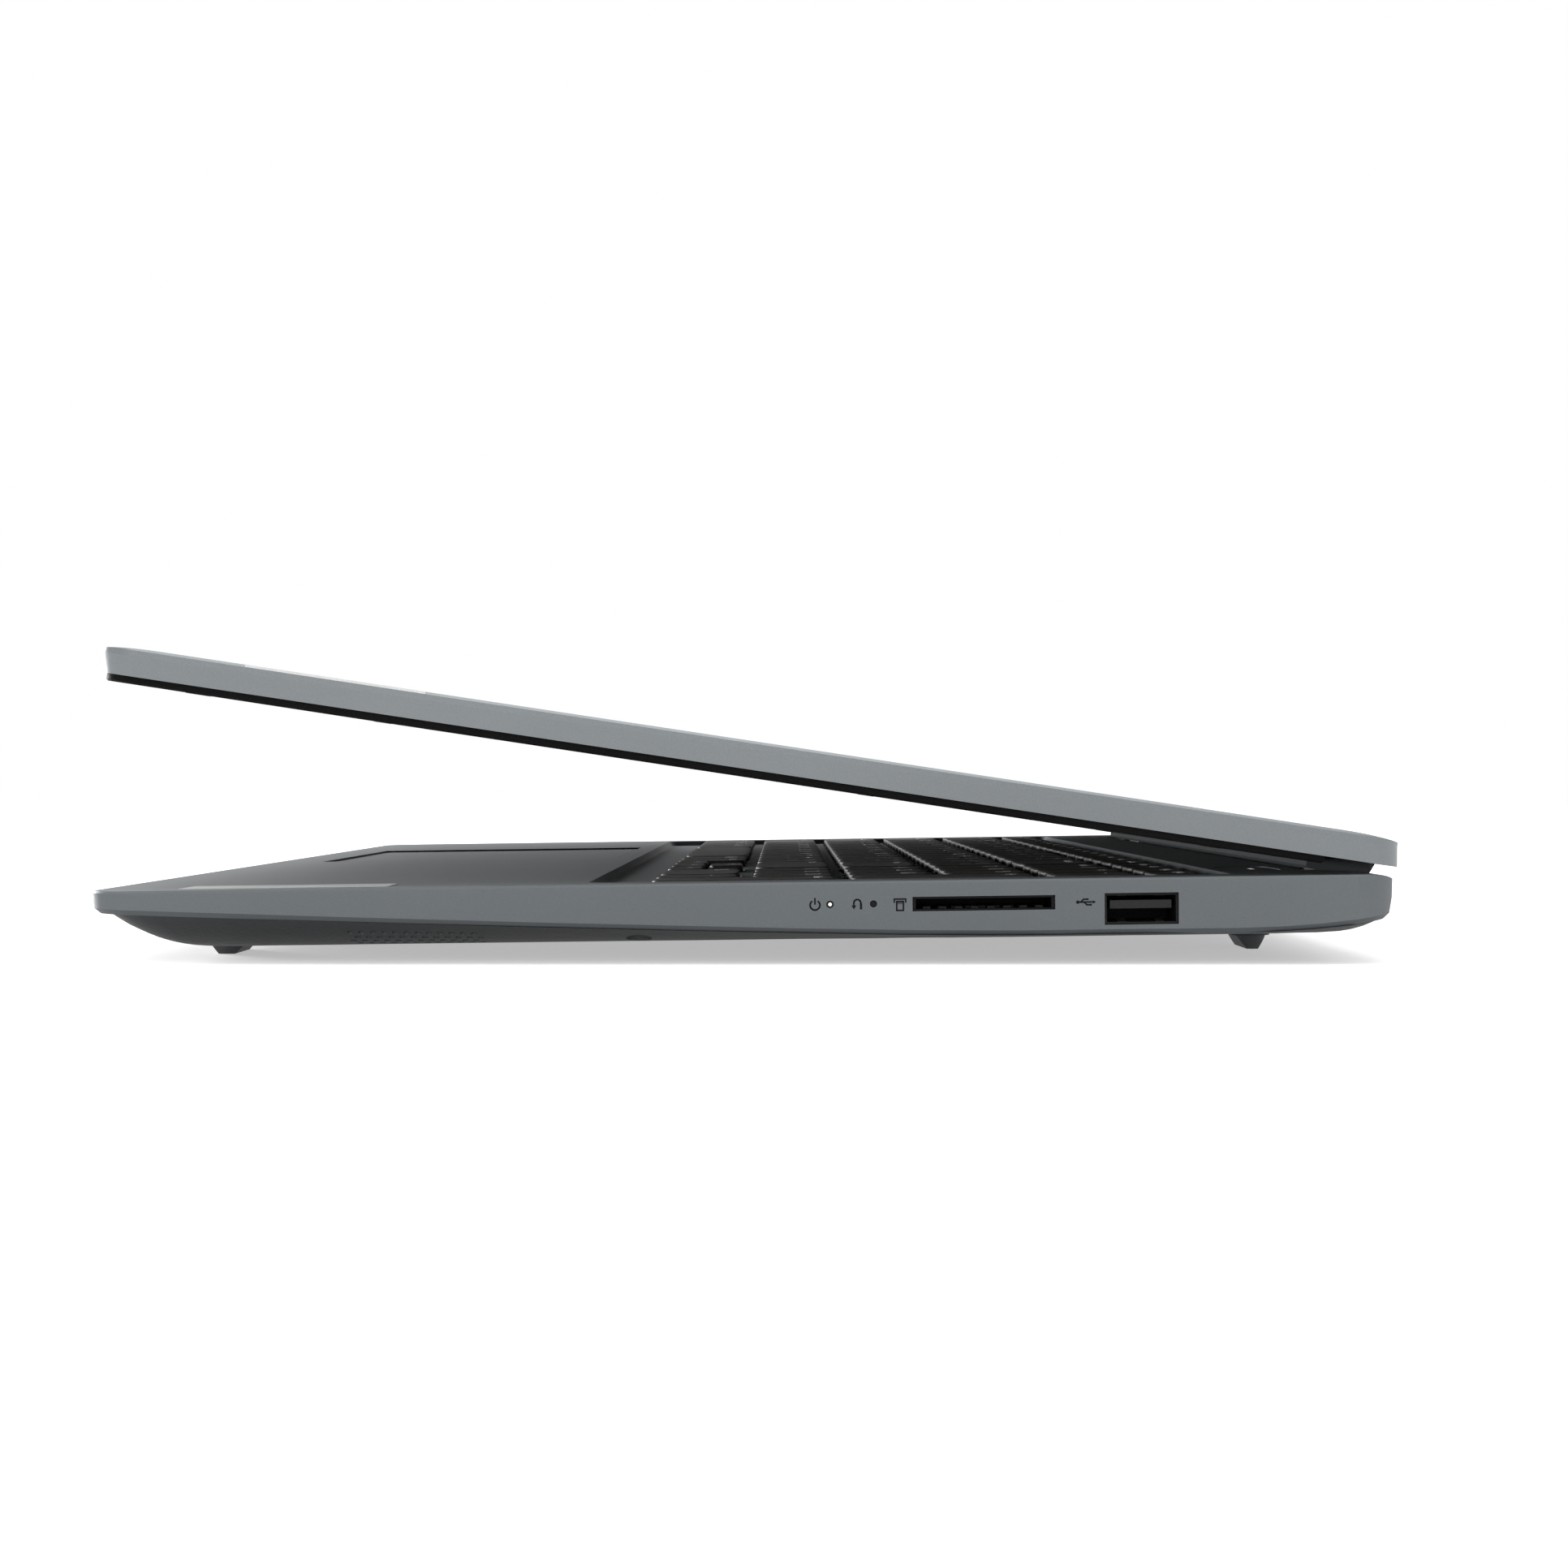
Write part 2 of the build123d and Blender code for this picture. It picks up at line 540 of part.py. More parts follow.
def make_dc_jack():
    sleeve = rod((-179.4, -167), POWER_INLET_Y, PORT_Z, 2.8) - rod((-181, -168), POWER_INLET_Y, PORT_Z, 2.05)
    return sleeve + rod((-178.0, -167.5), POWER_INLET_Y, PORT_Z, 0.82)


# ------------------------------------------------------------------ lid
def lid_solid(inset, z):
    """The lid's plan, drawn in by inset, between two heights."""
    x = (-WIDTH / 2 + inset, WIDTH / 2 - inset)
    return slab(x, (LID_FRONT + inset, LID_REAR - inset), z, max(1.0, CORNER - inset))


def lid_outside():
    """Painted back cover: front and sides drawn in below, rear let out, and ends that drop softly above."""
    low_front, low_rear = LID_FRONT + RIM_IN_FRONT, LID_REAR + RIM_OUT_REAR
    lower = RectangleRounded(WIDTH - 2 * RIM_IN_SIDE, low_rear - low_front, CORNER - RIM_IN_SIDE)
    upper = RectangleRounded(WIDTH, LID_REAR - LID_FRONT, CORNER)
    lower = Pos(0, (low_front + low_rear) / 2, RIM_PLANE) * lower
    upper = Pos(0, (LID_FRONT + LID_REAR) / 2, LID_TOP - 1.5) * upper
    edge = loft([lower, upper], ruled=True)
    crown = slab((-WIDTH / 2, WIDTH / 2), (LID_FRONT, LID_REAR), (LID_TOP - 1.5, LID_TOP), CORNER)
    crown = chamfer(crown.faces().sort_by(Axis.Z)[-1].edges(), 0.45)
    front, rear, drop, run = LID_FRONT - 2, LID_REAR + 2, 1.1, 14.0
    top = [
        ThreePointArc((front, LID_TOP - drop), (front + run / 2, LID_TOP - drop / 4), (front + run, LID_TOP)),
        Polyline((front + run, LID_TOP), (front + run, LID_TOP + 1), (rear - run, LID_TOP + 1),
                 (rear - run, LID_TOP)),
        ThreePointArc((rear - run, LID_TOP), (rear - run / 2, LID_TOP - drop / 4), (rear, LID_TOP - drop)),
        Polyline((rear, LID_TOP - drop), (rear, 0), (front, 0), (front, LID_TOP - drop)),
    ]
    return (edge + crown) & side_profile(top, (-WIDTH, WIDTH))


def badge_seat(grow):
    """Long narrow pocket for the plain plate let into the lid's right-hand edge."""
    return slab((170.8 - grow, 179.0 + grow), (22.5 - grow, 59.5 + grow), (6.35, 7.2), 1.0)


def make_lid_back_cover():
    shell = lid_outside() - slab((-176, 176), (2.4, 232.6), (0, 5.6), 5)
    return shell - badge_seat(0.05)


def make_lid_badge():
    return badge_seat(0) & lid_outside()


def screen_window():
    return slab((-172.1, 172.1), (9.0, 202.6), (0, 2), 0.6, taper=-12)


def make_lid_bezel():
    frame = lid_solid(1.7, (BEZEL_FACE, RIM_PLANE)) & block((-200, 200), (-5, 222.0), (0, 4))
    frame = chamfer(frame.faces().sort_by(Axis.Z)[0].edges(), 0.35)
    frame -= screen_window()
    frame -= disc((0, 5.0), (-1, 3), 1.9) + block((-2.6, 8.2), (3.5, 6.5), (-1, 1.4)) + disc((10.5, 5.0), (-1, 3), 0.5)
    return frame - [disc(spot, (-1, 1.0), 2.6) for spot in bumper_spots()]


def bumper_spots():
    return [(s * x, y) for s in (-1, 1) for x, y in ((120, 4.0), (174.6, 150))] + [(s * 90, 216) for s in (-1, 1)]


def make_lid_bumpers():
    return Compound([disc(spot, (0.22, 1.0), 2.5) for spot in bumper_spots()])


def make_display_screen():
    return slab((-172.6, 172.6), (8.5, 203.1), (RIM_PLANE, 1.9), 0.5)


def make_display_panel():
    panel = slab((-175.4, 175.4), (7.6, 206), (1.9, 4.5), 1.0)
    return panel + slab((-120, 120), (206, 213), (1.9, 2.9), 0.5)


def make_webcam_module():
    board = block((-32, 32), (2.9, 7.1), (2.9, 4.0)) + disc((0, 5.0), (2.3, 2.9), 2.0)
    return board + block((9, 12), (4, 6), (2.0, 2.9))


def make_webcam_lens():
    return disc((0, 5.0), (1.5, 2.3), 1.6)


def make_privacy_shutter():
    plate = slab((2.9, 7.9), (3.8, 6.2), (0.6, 1.3), 0.4)
    return plate + [block((x, x + 0.4), (4.2, 5.8), (0.45, 0.6)) for x in (4.6, 5.4, 6.2)]


def make_antenna_pair():
    return Compound(both_sides(block((60, 118), (2.9, 6.8), (4.6, 5.5))))


def make_display_cable():
    """Flat cable taped along the back of the screen panel, from its board to the left hinge."""
    run = block((-60, -45), (196, 211), (4.6, 5.3)) + block((-100, -58), (196, 204), (4.6, 5.3))
    return run + block((-108, -98), (196, 230), (4.6, 5.3))


def make_hinge_bar_cover():
    """Strip that closes the gap at the hinge, with a round skirt that turns in the channel."""
    floor = slab((-175.8, 175.8), (222.3, 232.4), (RIM_PLANE, 2.65), 1.0)
    outline = [(BAR_FRONT, BAR_BOTTOM + 0.5), (BAR_FRONT, 2.0), (235.2, 2.0), (235.2, RIM_PLANE), (234.6, 0.2),
               (233.9, BAR_BOTTOM), (BAR_FRONT + 0.6, BAR_BOTTOM)]
    bar = side_polygon(outline, (-170, 170)) & Pos(0, 0, -2) * hinge_bar_bed(0)
    bar &= block((-200, 200), (220, 240), (-3, RIM_PLANE))
    bar = bar + floor - both_sides(block((120.4, 140.6), (229.6, 236), (-3, 3)))
    for x in ((-116, 116), (142.6, 155.5), (-155.5, -142.6)):
        bar += rod(x, HINGE_Y, HINGE_Z, BARREL_RADIUS) + block(x, (230.6, HINGE_Y), (HINGE_Z, BAR_BOTTOM + 0.2))
    return bar


def hinge_leaf():
    """Right lid hinge: a sleeve on the pin, an arm up into the lid, and a screwed flange."""
    leaf = rod((121, 140), HINGE_Y, HINGE_Z, BARREL_RADIUS)
    leaf += block((121, 140), (230.3, 232.2), (HINGE_Z, 5.5)) + block((121, 140), (214.5, 232.2), (4.6, 5.5))
    leaf -= rod((120, 142), HINGE_Y, HINGE_Z, PIN_RADIUS + 0.07)
    return leaf - [disc((x, 219), (4, 6), 1.1) for x in (125, 136)]


def hinge_bracket():
    """Right base hinge: a plate under the deck, a lug through the back wall, and the pin."""
    plate = slab((84, 120.5), (204, 226.5), (-3.6, -2.65), 2)
    lug = rod((117.6, 120.4), HINGE_Y, HINGE_Z, BARREL_RADIUS) + block((117.6, 120.4), (222, HINGE_Y), (-6.5, -3.0))
    pin = rod((118, 141.5), HINGE_Y, HINGE_Z, PIN_RADIUS) + rod((140.6, 141.8), HINGE_Y, HINGE_Z, 2.4)
    return plate + lug + pin


def make_lid_screws():
    screws = [disc((x, 219), (3.9, 4.6), 2.0) + disc((x, 219), (4.6, 5.5), 1.0) for x in (125, 136)]
    return Compound(screws + [mirror(screw, about=Plane.YZ) for screw in screws])


# ------------------------------------------------------------------ the assembly
def lid_nodes():
    """Everything that swings with the lid, drawn closed."""
    leaf = hinge_leaf()
    return {
        "lid_back_cover": make_lid_back_cover(),
        "lid_bezel": make_lid_bezel(),
        "lid_badge": make_lid_badge(),
        "lid_bumpers": make_lid_bumpers(),
        "lid_screws": make_lid_screws(),
        "display_panel": make_display_panel(),
        "display_screen": make_display_screen(),
        "display_cable": make_display_cable(),
        "antenna_pair": make_antenna_pair(),
        "webcam_module": make_webcam_module(),
        "webcam_lens": make_webcam_lens(),
        "privacy_shutter": make_privacy_shutter(),
        "hinge_bar_cover": make_hinge_bar_cover(),
        "hinge_leaf_right": leaf,
        "hinge_leaf_left": mirror(leaf, about=Plane.YZ),
    }


def base_nodes():
    """Everything that stays with the base or presses into it."""
    speaker, bracket = make_speaker(), hinge_bracket()
    nodes = {
        "top_case": make_top_case(),
        "bottom_cover": make_bottom_cover(),
        "bottom_screws": make_bottom_screws(),
        "keyboard_plate": make_keyboard_plate(),
        "touchpad": make_touchpad(),
        "power_button": make_power_button(),
        "power_lamp": make_power_lamp(),
        "reset_button": make_reset_button(),
        "status_lamp": make_status_lamp(),
        "palmrest_label": make_palmrest_label(),
        "mainboard": make_mainboard(),
        "battery_pack": make_battery_pack(),
        "fan_housing": make_fan_housing(),
        "fan_rotor": make_fan_rotor(),
        "heat_sink": make_heat_sink(),
        "ssd_module": make_ssd_module(),
        "memory_module": make_memory_module(),
        "wifi_card": make_wifi_card(),
        "speaker_right": speaker,
        "speaker_left": mirror(speaker, about=Plane.YZ),
        "io_board": make_io_board(),
        "io_ribbon": make_io_ribbon(),
        "usb_port_right": usb_socket(1, USB_Y),
        "usb_port_left": usb_socket(-1, LEFT_USB_Y),
        "sd_card_slot": make_sd_card_slot(),
        "hdmi_port": make_hdmi_port(),
        "usb_c_port": make_usb_c_port(),
        "audio_jack": make_audio_jack(),
        "dc_jack": make_dc_jack(),
        "hinge_bracket_right": bracket,
        "hinge_bracket_left": mirror(bracket, about=Plane.YZ),
    }
    for name, keys in keyboard().items():
        nodes[name] = Compound([key_cap(key) for key in keys])
    return nodes


def main():
    os.makedirs("parts", exist_ok=True)
    nodes = {name: seat(raise_lid(shape)) for name, shape in lid_nodes().items()}
    nodes.update({name: seat(shape) for name, shape in base_nodes().items()})
    nodes["front_feet"] = trim_at_table(seat(make_front_feet()))
    nodes["rear_feet"] = trim_at_table(seat(make_rear_feet()))
    for name, shape in nodes.items():
        export_step(shape, f"parts/{name}.step")


if __name__ == "__main__":
    main()
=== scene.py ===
# %% [markdown]
# # A slim grey laptop computer, open by a crack
# The laptop's real parts come packed as a fixed frame: shells, hinges, sockets, feet and key groups. Blender
# never moves them. It paints them, and adds what a drawing leaves out: dished key caps with their printed
# legends, contact springs, icons beside the sockets, painted and moulded surfaces, light and a floor.

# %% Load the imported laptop
import bpy
import json
import math
import numpy as np
from mathutils import Matrix, Vector


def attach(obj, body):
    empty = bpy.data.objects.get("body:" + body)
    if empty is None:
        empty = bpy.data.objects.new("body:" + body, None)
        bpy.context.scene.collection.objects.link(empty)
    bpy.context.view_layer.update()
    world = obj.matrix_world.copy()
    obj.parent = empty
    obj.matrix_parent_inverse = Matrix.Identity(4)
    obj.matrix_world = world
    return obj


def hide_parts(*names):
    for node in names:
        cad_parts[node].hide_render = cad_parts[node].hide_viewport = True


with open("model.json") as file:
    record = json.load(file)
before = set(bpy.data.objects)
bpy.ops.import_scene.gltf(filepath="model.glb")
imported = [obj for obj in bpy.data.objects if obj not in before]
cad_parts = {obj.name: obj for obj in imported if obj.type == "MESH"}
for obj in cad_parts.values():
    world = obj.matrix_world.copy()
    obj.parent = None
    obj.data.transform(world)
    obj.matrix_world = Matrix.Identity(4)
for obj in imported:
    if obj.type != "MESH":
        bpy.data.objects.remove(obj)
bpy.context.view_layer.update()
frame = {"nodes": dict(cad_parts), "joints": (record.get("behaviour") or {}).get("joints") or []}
NODES = frame["nodes"]

# %% [markdown]
# ## Two places to draw in
# A laptop is easiest to draw lying flat and shut, the way it is made. The deck is the flat top of the base:
# X runs to the user's right, Y back from the front edge, Z up from the deck. Two matrices then carry a
# finished drawing to where the part stands: one stands the base on its feet, the other also swings the lid
# open on its hinge. The tilt and the hinge come from the frame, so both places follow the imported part.

# %% The deck's place and the lid's place
MM = 0.001
HINGE = next(joint for joint in frame["joints"] if joint["name"] == "lid_hinge")
PRESS = next(joint for joint in frame["joints"] if joint["name"] == "power_press")
DECK_TILT = math.atan2(PRESS["axis"][1], -PRESS["axis"][2])
LID_OPENING = math.radians(-HINGE["range_deg"][0])
HINGE_ON_DECK = (0.2332, -0.0045)        # the hinge pin: back from the front edge, and under the deck

turn = Matrix.Rotation(DECK_TILT, 4, "X")
pin = turn @ Vector((0, *HINGE_ON_DECK))
DECK = Matrix.Translation(Vector(HINGE["pos_m"]) - pin) @ turn
AXLE = Matrix.Translation((0, *HINGE_ON_DECK))
LID = DECK @ AXLE @ Matrix.Rotation(-LID_OPENING, 4, "X") @ AXLE.inverted()
print("deck tilt in degrees:", round(math.degrees(DECK_TILT), 3))

# %% [markdown]
# ## The camera
# The view is straight from the right-hand side, from a little above the table and about 46 cm from the near
# side. A level camera with no shift keeps every upright edge upright. Its height is what makes the deck
# just visible as a thin wedge under the lid, so it is set in millimetres over the table and not by eye.

# %% Camera
eye = bpy.data.objects.new("camera", bpy.data.cameras.new("camera"))
bpy.context.scene.collection.objects.link(eye)
eye.location = (0.6420, 0.0073, 0.0324)
eye.rotation_euler = (math.radians(90), 0, math.radians(90))
eye.data.sensor_width = 36.0
eye.data.lens = 59.2
eye.data.clip_start = 0.01
bpy.context.scene.camera = eye

# %% [markdown]
# ## Studio light and floor
# Products are shot on a white sweep with large soft lamps, so that edges show as soft bright lines and the
# shadow is a faint smear under the feet. Four lamps do that here: a broad one overhead, a big panel on the
# camera's side that lights the sockets, a small low one in front that skims the palm rest, and a weak one
# behind that draws the lid's outline. The world is white and fills the rest. The floor glows a little,
# because a real sweep is lit separately until it reads as pure white, and that also keeps the shadow pale.

# %% Lights and floor
def lamp(name, place, aim, size, watts):
    """A soft square lamp: a flat panel of the given size that faces its aim point."""
    panel = bpy.data.lights.new(name, "AREA")
    panel.shape, panel.size, panel.energy = "SQUARE", size, watts
    lit = bpy.data.objects.new(name, panel)
    lit.location = place
    lit.rotation_euler = (Vector(aim) - Vector(place)).to_track_quat("-Z", "Y").to_euler()
    bpy.context.scene.collection.objects.link(lit)


lamp("overhead_softbox", (0.15, 0.0, 1.30), (0, 0, 0), 1.0, 14.0)
lamp("port_side_panel", (1.35, -0.35, 0.55), (0.1, 0, 0.02), 0.9, 4.0)
lamp("palm_rest_panel", (-0.80, -1.00, 0.22), (0, 0, 0.02), 0.45, 36.0)
lamp("rear_rim_panel", (-0.6, 1.1, 0.9), (0, 0, 0.02), 0.8, 3.0)

world = bpy.data.worlds.new("studio")
world.use_nodes = True
world.node_tree.nodes["Background"].inputs["Color"].default_value = (1, 1, 1, 1)
world.node_tree.nodes["Background"].inputs["Strength"].default_value = 1.0
bpy.context.scene.world = world
bpy.context.scene.view_settings.view_transform = "Standard"

SWEEP = 3.0
floor_mesh = bpy.data.meshes.new("floor")
floor_mesh.from_pydata([(-SWEEP, -SWEEP, 0), (SWEEP, -SWEEP, 0), (SWEEP, SWEEP, 0), (-SWEEP, SWEEP, 0)], [],
                       [(0, 1, 2, 3)])
floor = bpy.data.objects.new("floor", floor_mesh)
bpy.context.scene.collection.objects.link(floor)

# %% [markdown]
# ## Shader effects that several finishes share
# Paint, plastic and metal differ in colour and gloss, but they share three effects: a fine grain, slow
# cloudy changes of tone, and light dust that dulls what faces up. A fourth darkens the colour of faces that
# look down, as painted shade for the shadow under the base and its bevels. Each is a node group with named
# sockets, built once. A group keeps the recipe in one place, so a finish is only a choice of numbers.

# %% Node group helpers
def group_with(name, inputs, outputs):
    """An empty shader group: inputs as (name, default), outputs as names, all plain numbers."""
    group = bpy.data.node_groups.new(name, "ShaderNodeTree")
    for label, default in inputs:
        socket = group.interface.new_socket(label, in_out="INPUT", socket_type="NodeSocketFloat")
        socket.default_value = default
    for label in outputs:
        group.interface.new_socket(label, in_out="OUTPUT", socket_type="NodeSocketFloat")
    return group, group.nodes.new("NodeGroupInput"), group.nodes.new("NodeGroupOutput")


def noise(tree, vector, scale, detail):
    """Cloud noise read on object coordinates; scale may be a number or a socket."""
    node = tree.nodes.new("ShaderNodeTexNoise")
    node.inputs["Detail"].default_value = detail
    tree.links.new(vector, node.inputs["Vector"])
    if isinstance(scale, (int, float)):
        node.inputs["Scale"].default_value = scale
    else:
        tree.links.new(scale, node.inputs["Scale"])
    return node.outputs["Fac"]


def mathed(tree, operation, a, b):
    """One arithmetic node on two numbers or sockets."""
    node = tree.nodes.new("ShaderNodeMath")
    node.operation = operation
    for socket, value in zip(node.inputs, (a, b)):
        if isinstance(value, (int, float)):
            socket.default_value = value
        else:
            tree.links.new(value, socket)
    return node.outputs[0]


# %% Grain, cloud and dust groups
grain, gin, gout = group_with("fine_grain", [("Grain Size", 0.3)], ["Height", "Fleck"])
place = grain.nodes.new("ShaderNodeTexCoord").outputs["Object"]
per_metre = mathed(grain, "DIVIDE", 1000.0, gin.outputs["Grain Size"])
fine = noise(grain, place, per_metre, 2.0)
coarse = noise(grain, place, mathed(grain, "MULTIPLY", per_metre, 0.37), 1.0)
grain.links.new(mathed(grain, "ADD", fine, coarse), gout.inputs["Height"])
grain.links.new(fine, gout.inputs["Fleck"])

cloud, cin, cout = group_with("slow_cloud", [("Patch Size", 40.0)], ["Cloud"])
place = cloud.nodes.new("ShaderNodeTexCoord").outputs["Object"]
cloud.links.new(noise(cloud, place, mathed(cloud, "DIVIDE", 1000.0, cin.outputs["Patch Size"]), 3.0),
                cout.inputs["Cloud"])

dust, din, dout = group_with("settled_dust", [("Amount", 0.1)], ["Dust"])
facing = dust.nodes.new("ShaderNodeNewGeometry").outputs["Normal"]
split = dust.nodes.new("ShaderNodeSeparateXYZ")
dust.links.new(facing, split.inputs[0])
place = dust.nodes.new("ShaderNodeTexCoord").outputs["Object"]
speck = noise(dust, place, 900.0, 4.0)
upward = mathed(dust, "MAXIMUM", split.outputs["Z"], 0.0)
dust.links.new(mathed(dust, "MULTIPLY", mathed(dust, "MULTIPLY", upward, speck), din.outputs["Amount"]),
               dout.inputs["Dust"])

# Painted shade: faces that look down lose up to Depth of their colour, standing in for the shade under the
# base.
shade, shin, shout = group_with("thin_below", [("Depth", 0.0)], ["Keep"])
facing = shade.nodes.new("ShaderNodeNewGeometry").outputs["Normal"]
split = shade.nodes.new("ShaderNodeSeparateXYZ")
shade.links.new(facing, split.inputs[0])
downward = mathed(shade, "MAXIMUM", mathed(shade, "MULTIPLY", split.outputs["Z"], -1.0), 0.0)
lost = mathed(shade, "MULTIPLY", mathed(shade, "MINIMUM", mathed(shade, "MULTIPLY", downward, 1.4), 1.0),
              shin.outputs["Depth"])
shade.links.new(mathed(shade, "SUBTRACT", 1.0, lost), shout.inputs["Keep"])

# %% [markdown]
# ## Finishes
# A finish is a Principled shader whose colour swings a little between two tones with the grain and the
# cloud, whose roughness rises with dust, and whose surface is pricked by the grain's height. Sizes are in
# millimetres, so a paint fleck is 0.16 and a bezel's moulded grain is 0.5. Brushed steel stretches its
# coordinates along one axis, which turns round specks into streaks.

# %% The finish maker
FINISHES = {}


def finish(name, dark, light, rough, grain_mm=0.3, bump=0.1, metallic=0.0, patch_mm=45.0, dust_amount=0.05,
           stretch=None, coat=0.0, glow=0.0, shine=0.5, below=0.0):
    """A material between two tones: grain and cloud mix them, dust and cloud move the roughness."""
    made = bpy.data.materials.new(name)
    made.use_nodes = True
    tree = made.node_tree
    shader = tree.nodes["Principled BSDF"]
    specks = tree.nodes.new("ShaderNodeGroup")
    specks.node_tree = grain
    specks.inputs["Grain Size"].default_value = grain_mm
    clouds = tree.nodes.new("ShaderNodeGroup")
    clouds.node_tree = cloud
    clouds.inputs["Patch Size"].default_value = patch_mm
    dusty = tree.nodes.new("ShaderNodeGroup")
    dusty.node_tree = dust
    dusty.inputs["Amount"].default_value = dust_amount
    fleck = specks.outputs["Fleck"]
    if stretch:
        fleck = streaks(tree, stretch)
    tone = mathed(tree, "ADD", mathed(tree, "MULTIPLY", fleck, 0.6),
                  mathed(tree, "MULTIPLY", clouds.outputs["Cloud"], 0.4))
    ramp = tree.nodes.new("ShaderNodeValToRGB")
    ramp.color_ramp.elements[0].position, ramp.color_ramp.elements[1].position = 0.3, 0.7
    ramp.color_ramp.elements[0].color, ramp.color_ramp.elements[1].color = (*dark, 1), (*light, 1)
    tree.links.new(tone, ramp.inputs["Fac"])
    tree.links.new(darkened(tree, ramp.outputs["Color"], below), shader.inputs["Base Color"])
    gloss = mathed(tree, "ADD", mathed(tree, "MULTIPLY", clouds.outputs["Cloud"], 0.12), rough - 0.06)
    tree.links.new(mathed(tree, "ADD", gloss, dusty.outputs["Dust"]), shader.inputs["Roughness"])
    relief = tree.nodes.new("ShaderNodeBump")
    relief.inputs["Strength"].default_value = bump
    relief.inputs["Distance"].default_value = grain_mm * MM * 0.5
    tree.links.new(fleck if stretch else specks.outputs["Height"], relief.inputs["Height"])
    tree.links.new(relief.outputs["Normal"], shader.inputs["Normal"])
    shader.inputs["Metallic"].default_value = metallic
    shader.inputs["Coat Weight"].default_value = coat
    shader.inputs["Specular IOR Level"].default_value = shine
    if glow:
        tree.links.new(ramp.outputs["Color"], shader.inputs["Emission Color"])
        shader.inputs["Emission Strength"].default_value = glow
    FINISHES[name] = made
    return made


def darkened(tree, colour, depth):
    """The colour times what the downward-shade group keeps: 1 on faces that look up, 1 - depth on those that
    look down, as painted shade.
    """
    thin = tree.nodes.new("ShaderNodeGroup")
    thin.node_tree = shade
    thin.inputs["Depth"].default_value = depth
    scaled = tree.nodes.new("ShaderNodeVectorMath")
    scaled.operation = "SCALE"
    tree.links.new(colour, scaled.inputs[0])
    tree.links.new(thin.outputs["Keep"], scaled.inputs["Scale"])
    return scaled.outputs[0]


def streaks(tree, stretch):
    """Noise squeezed across one direction, so that specks become brush lines."""
    mapping = tree.nodes.new("ShaderNodeMapping")
    mapping.inputs["Scale"].default_value = stretch
    tree.links.new(tree.nodes.new("ShaderNodeTexCoord").outputs["Object"], mapping.inputs["Vector"])
    return noise(tree, mapping.outputs["Vector"], 1.0, 3.0)


# %% Paint, plastics and rubber
finish("grey_paint", (0.120, 0.132, 0.140), (0.172, 0.186, 0.194), 0.45, grain_mm=0.16, bump=0.10,
       metallic=0.30, patch_mm=80, coat=0.04)
# deck_paint's below darkens the top case's downward faces, such as the bevel under the deck edge, as painted
# shade.
finish("deck_paint", (0.088, 0.098, 0.105), (0.120, 0.131, 0.139), 0.55, grain_mm=0.16, bump=0.10,
       metallic=0.15, patch_mm=80, shine=0.25, below=0.45)
# The hinge bar is body grey; this near-black colour is painted shade for the shade it sits in under the lid.
finish("hinge_bar_painted_shade", (0.030, 0.034, 0.037), (0.046, 0.051, 0.055), 0.80, grain_mm=0.16, bump=0.10,
       patch_mm=60, shine=0.12)
# The bottom cover is a darker grey than the deck; its colour is set lower still, and below darkens it
# further, as painted shade for the shadow under the base.
finish("underside_grey_and_painted_shade", (0.021, 0.026, 0.030), (0.034, 0.040, 0.045), 0.55, grain_mm=0.35, bump=0.30,
       patch_mm=30, shine=0.35, below=0.80)
finish("foot_rubber", (0.040, 0.045, 0.049), (0.062, 0.069, 0.074), 0.70, grain_mm=0.4, bump=0.35,
       patch_mm=12)
finish("bezel_moulding", (0.003, 0.003, 0.003), (0.006, 0.006, 0.006), 0.75, grain_mm=0.5, bump=0.30,
       patch_mm=25, shine=0.06)
finish("key_moulding", (0.028, 0.026, 0.024), (0.048, 0.045, 0.042), 0.55, grain_mm=0.22, bump=0.22,
       patch_mm=15, shine=0.35)
finish("matt_rubber", (0.006, 0.006, 0.006), (0.012, 0.012, 0.012), 0.80, grain_mm=0.4, bump=0.4,
       patch_mm=12, shine=0.1)
finish("socket_black", (0.004, 0.004, 0.004), (0.008, 0.008, 0.008), 0.6, grain_mm=0.25, bump=0.2,
       patch_mm=9, shine=0.15)
finish("screen_film", (0.003, 0.003, 0.004), (0.006, 0.006, 0.008), 0.30, grain_mm=0.12, bump=0.05,
       patch_mm=120, shine=0.18)
finish("tongue_grey", (0.012, 0.012, 0.012), (0.022, 0.022, 0.022), 0.6, grain_mm=0.2, bump=0.15,
       patch_mm=6, shine=0.2)
# dark_ink is the icons' real print, and also painted shade on the touchpad recess wall.
finish("dark_ink", (0.003, 0.003, 0.004), (0.006, 0.006, 0.007), 0.6, grain_mm=0.1, bump=0.05, patch_mm=4,
       shine=0.12)
finish("printed_ink", (0.55, 0.56, 0.56), (0.68, 0.69, 0.68), 0.55, grain_mm=0.12, bump=0.05, patch_mm=6)
finish("pale_label", (0.33, 0.34, 0.34), (0.42, 0.43, 0.42), 0.5, grain_mm=0.5, bump=0.04, patch_mm=14,
       shine=0.3)
finish("lamp_lens", (0.80, 0.80, 0.76), (0.95, 0.95, 0.92), 0.3, grain_mm=0.2, bump=0.03, patch_mm=3,
       glow=0.6)
finish("lens_glass", (0.01, 0.01, 0.02), (0.03, 0.02, 0.05), 0.08, grain_mm=0.2, bump=0.0, patch_mm=1,
       coat=1.0)

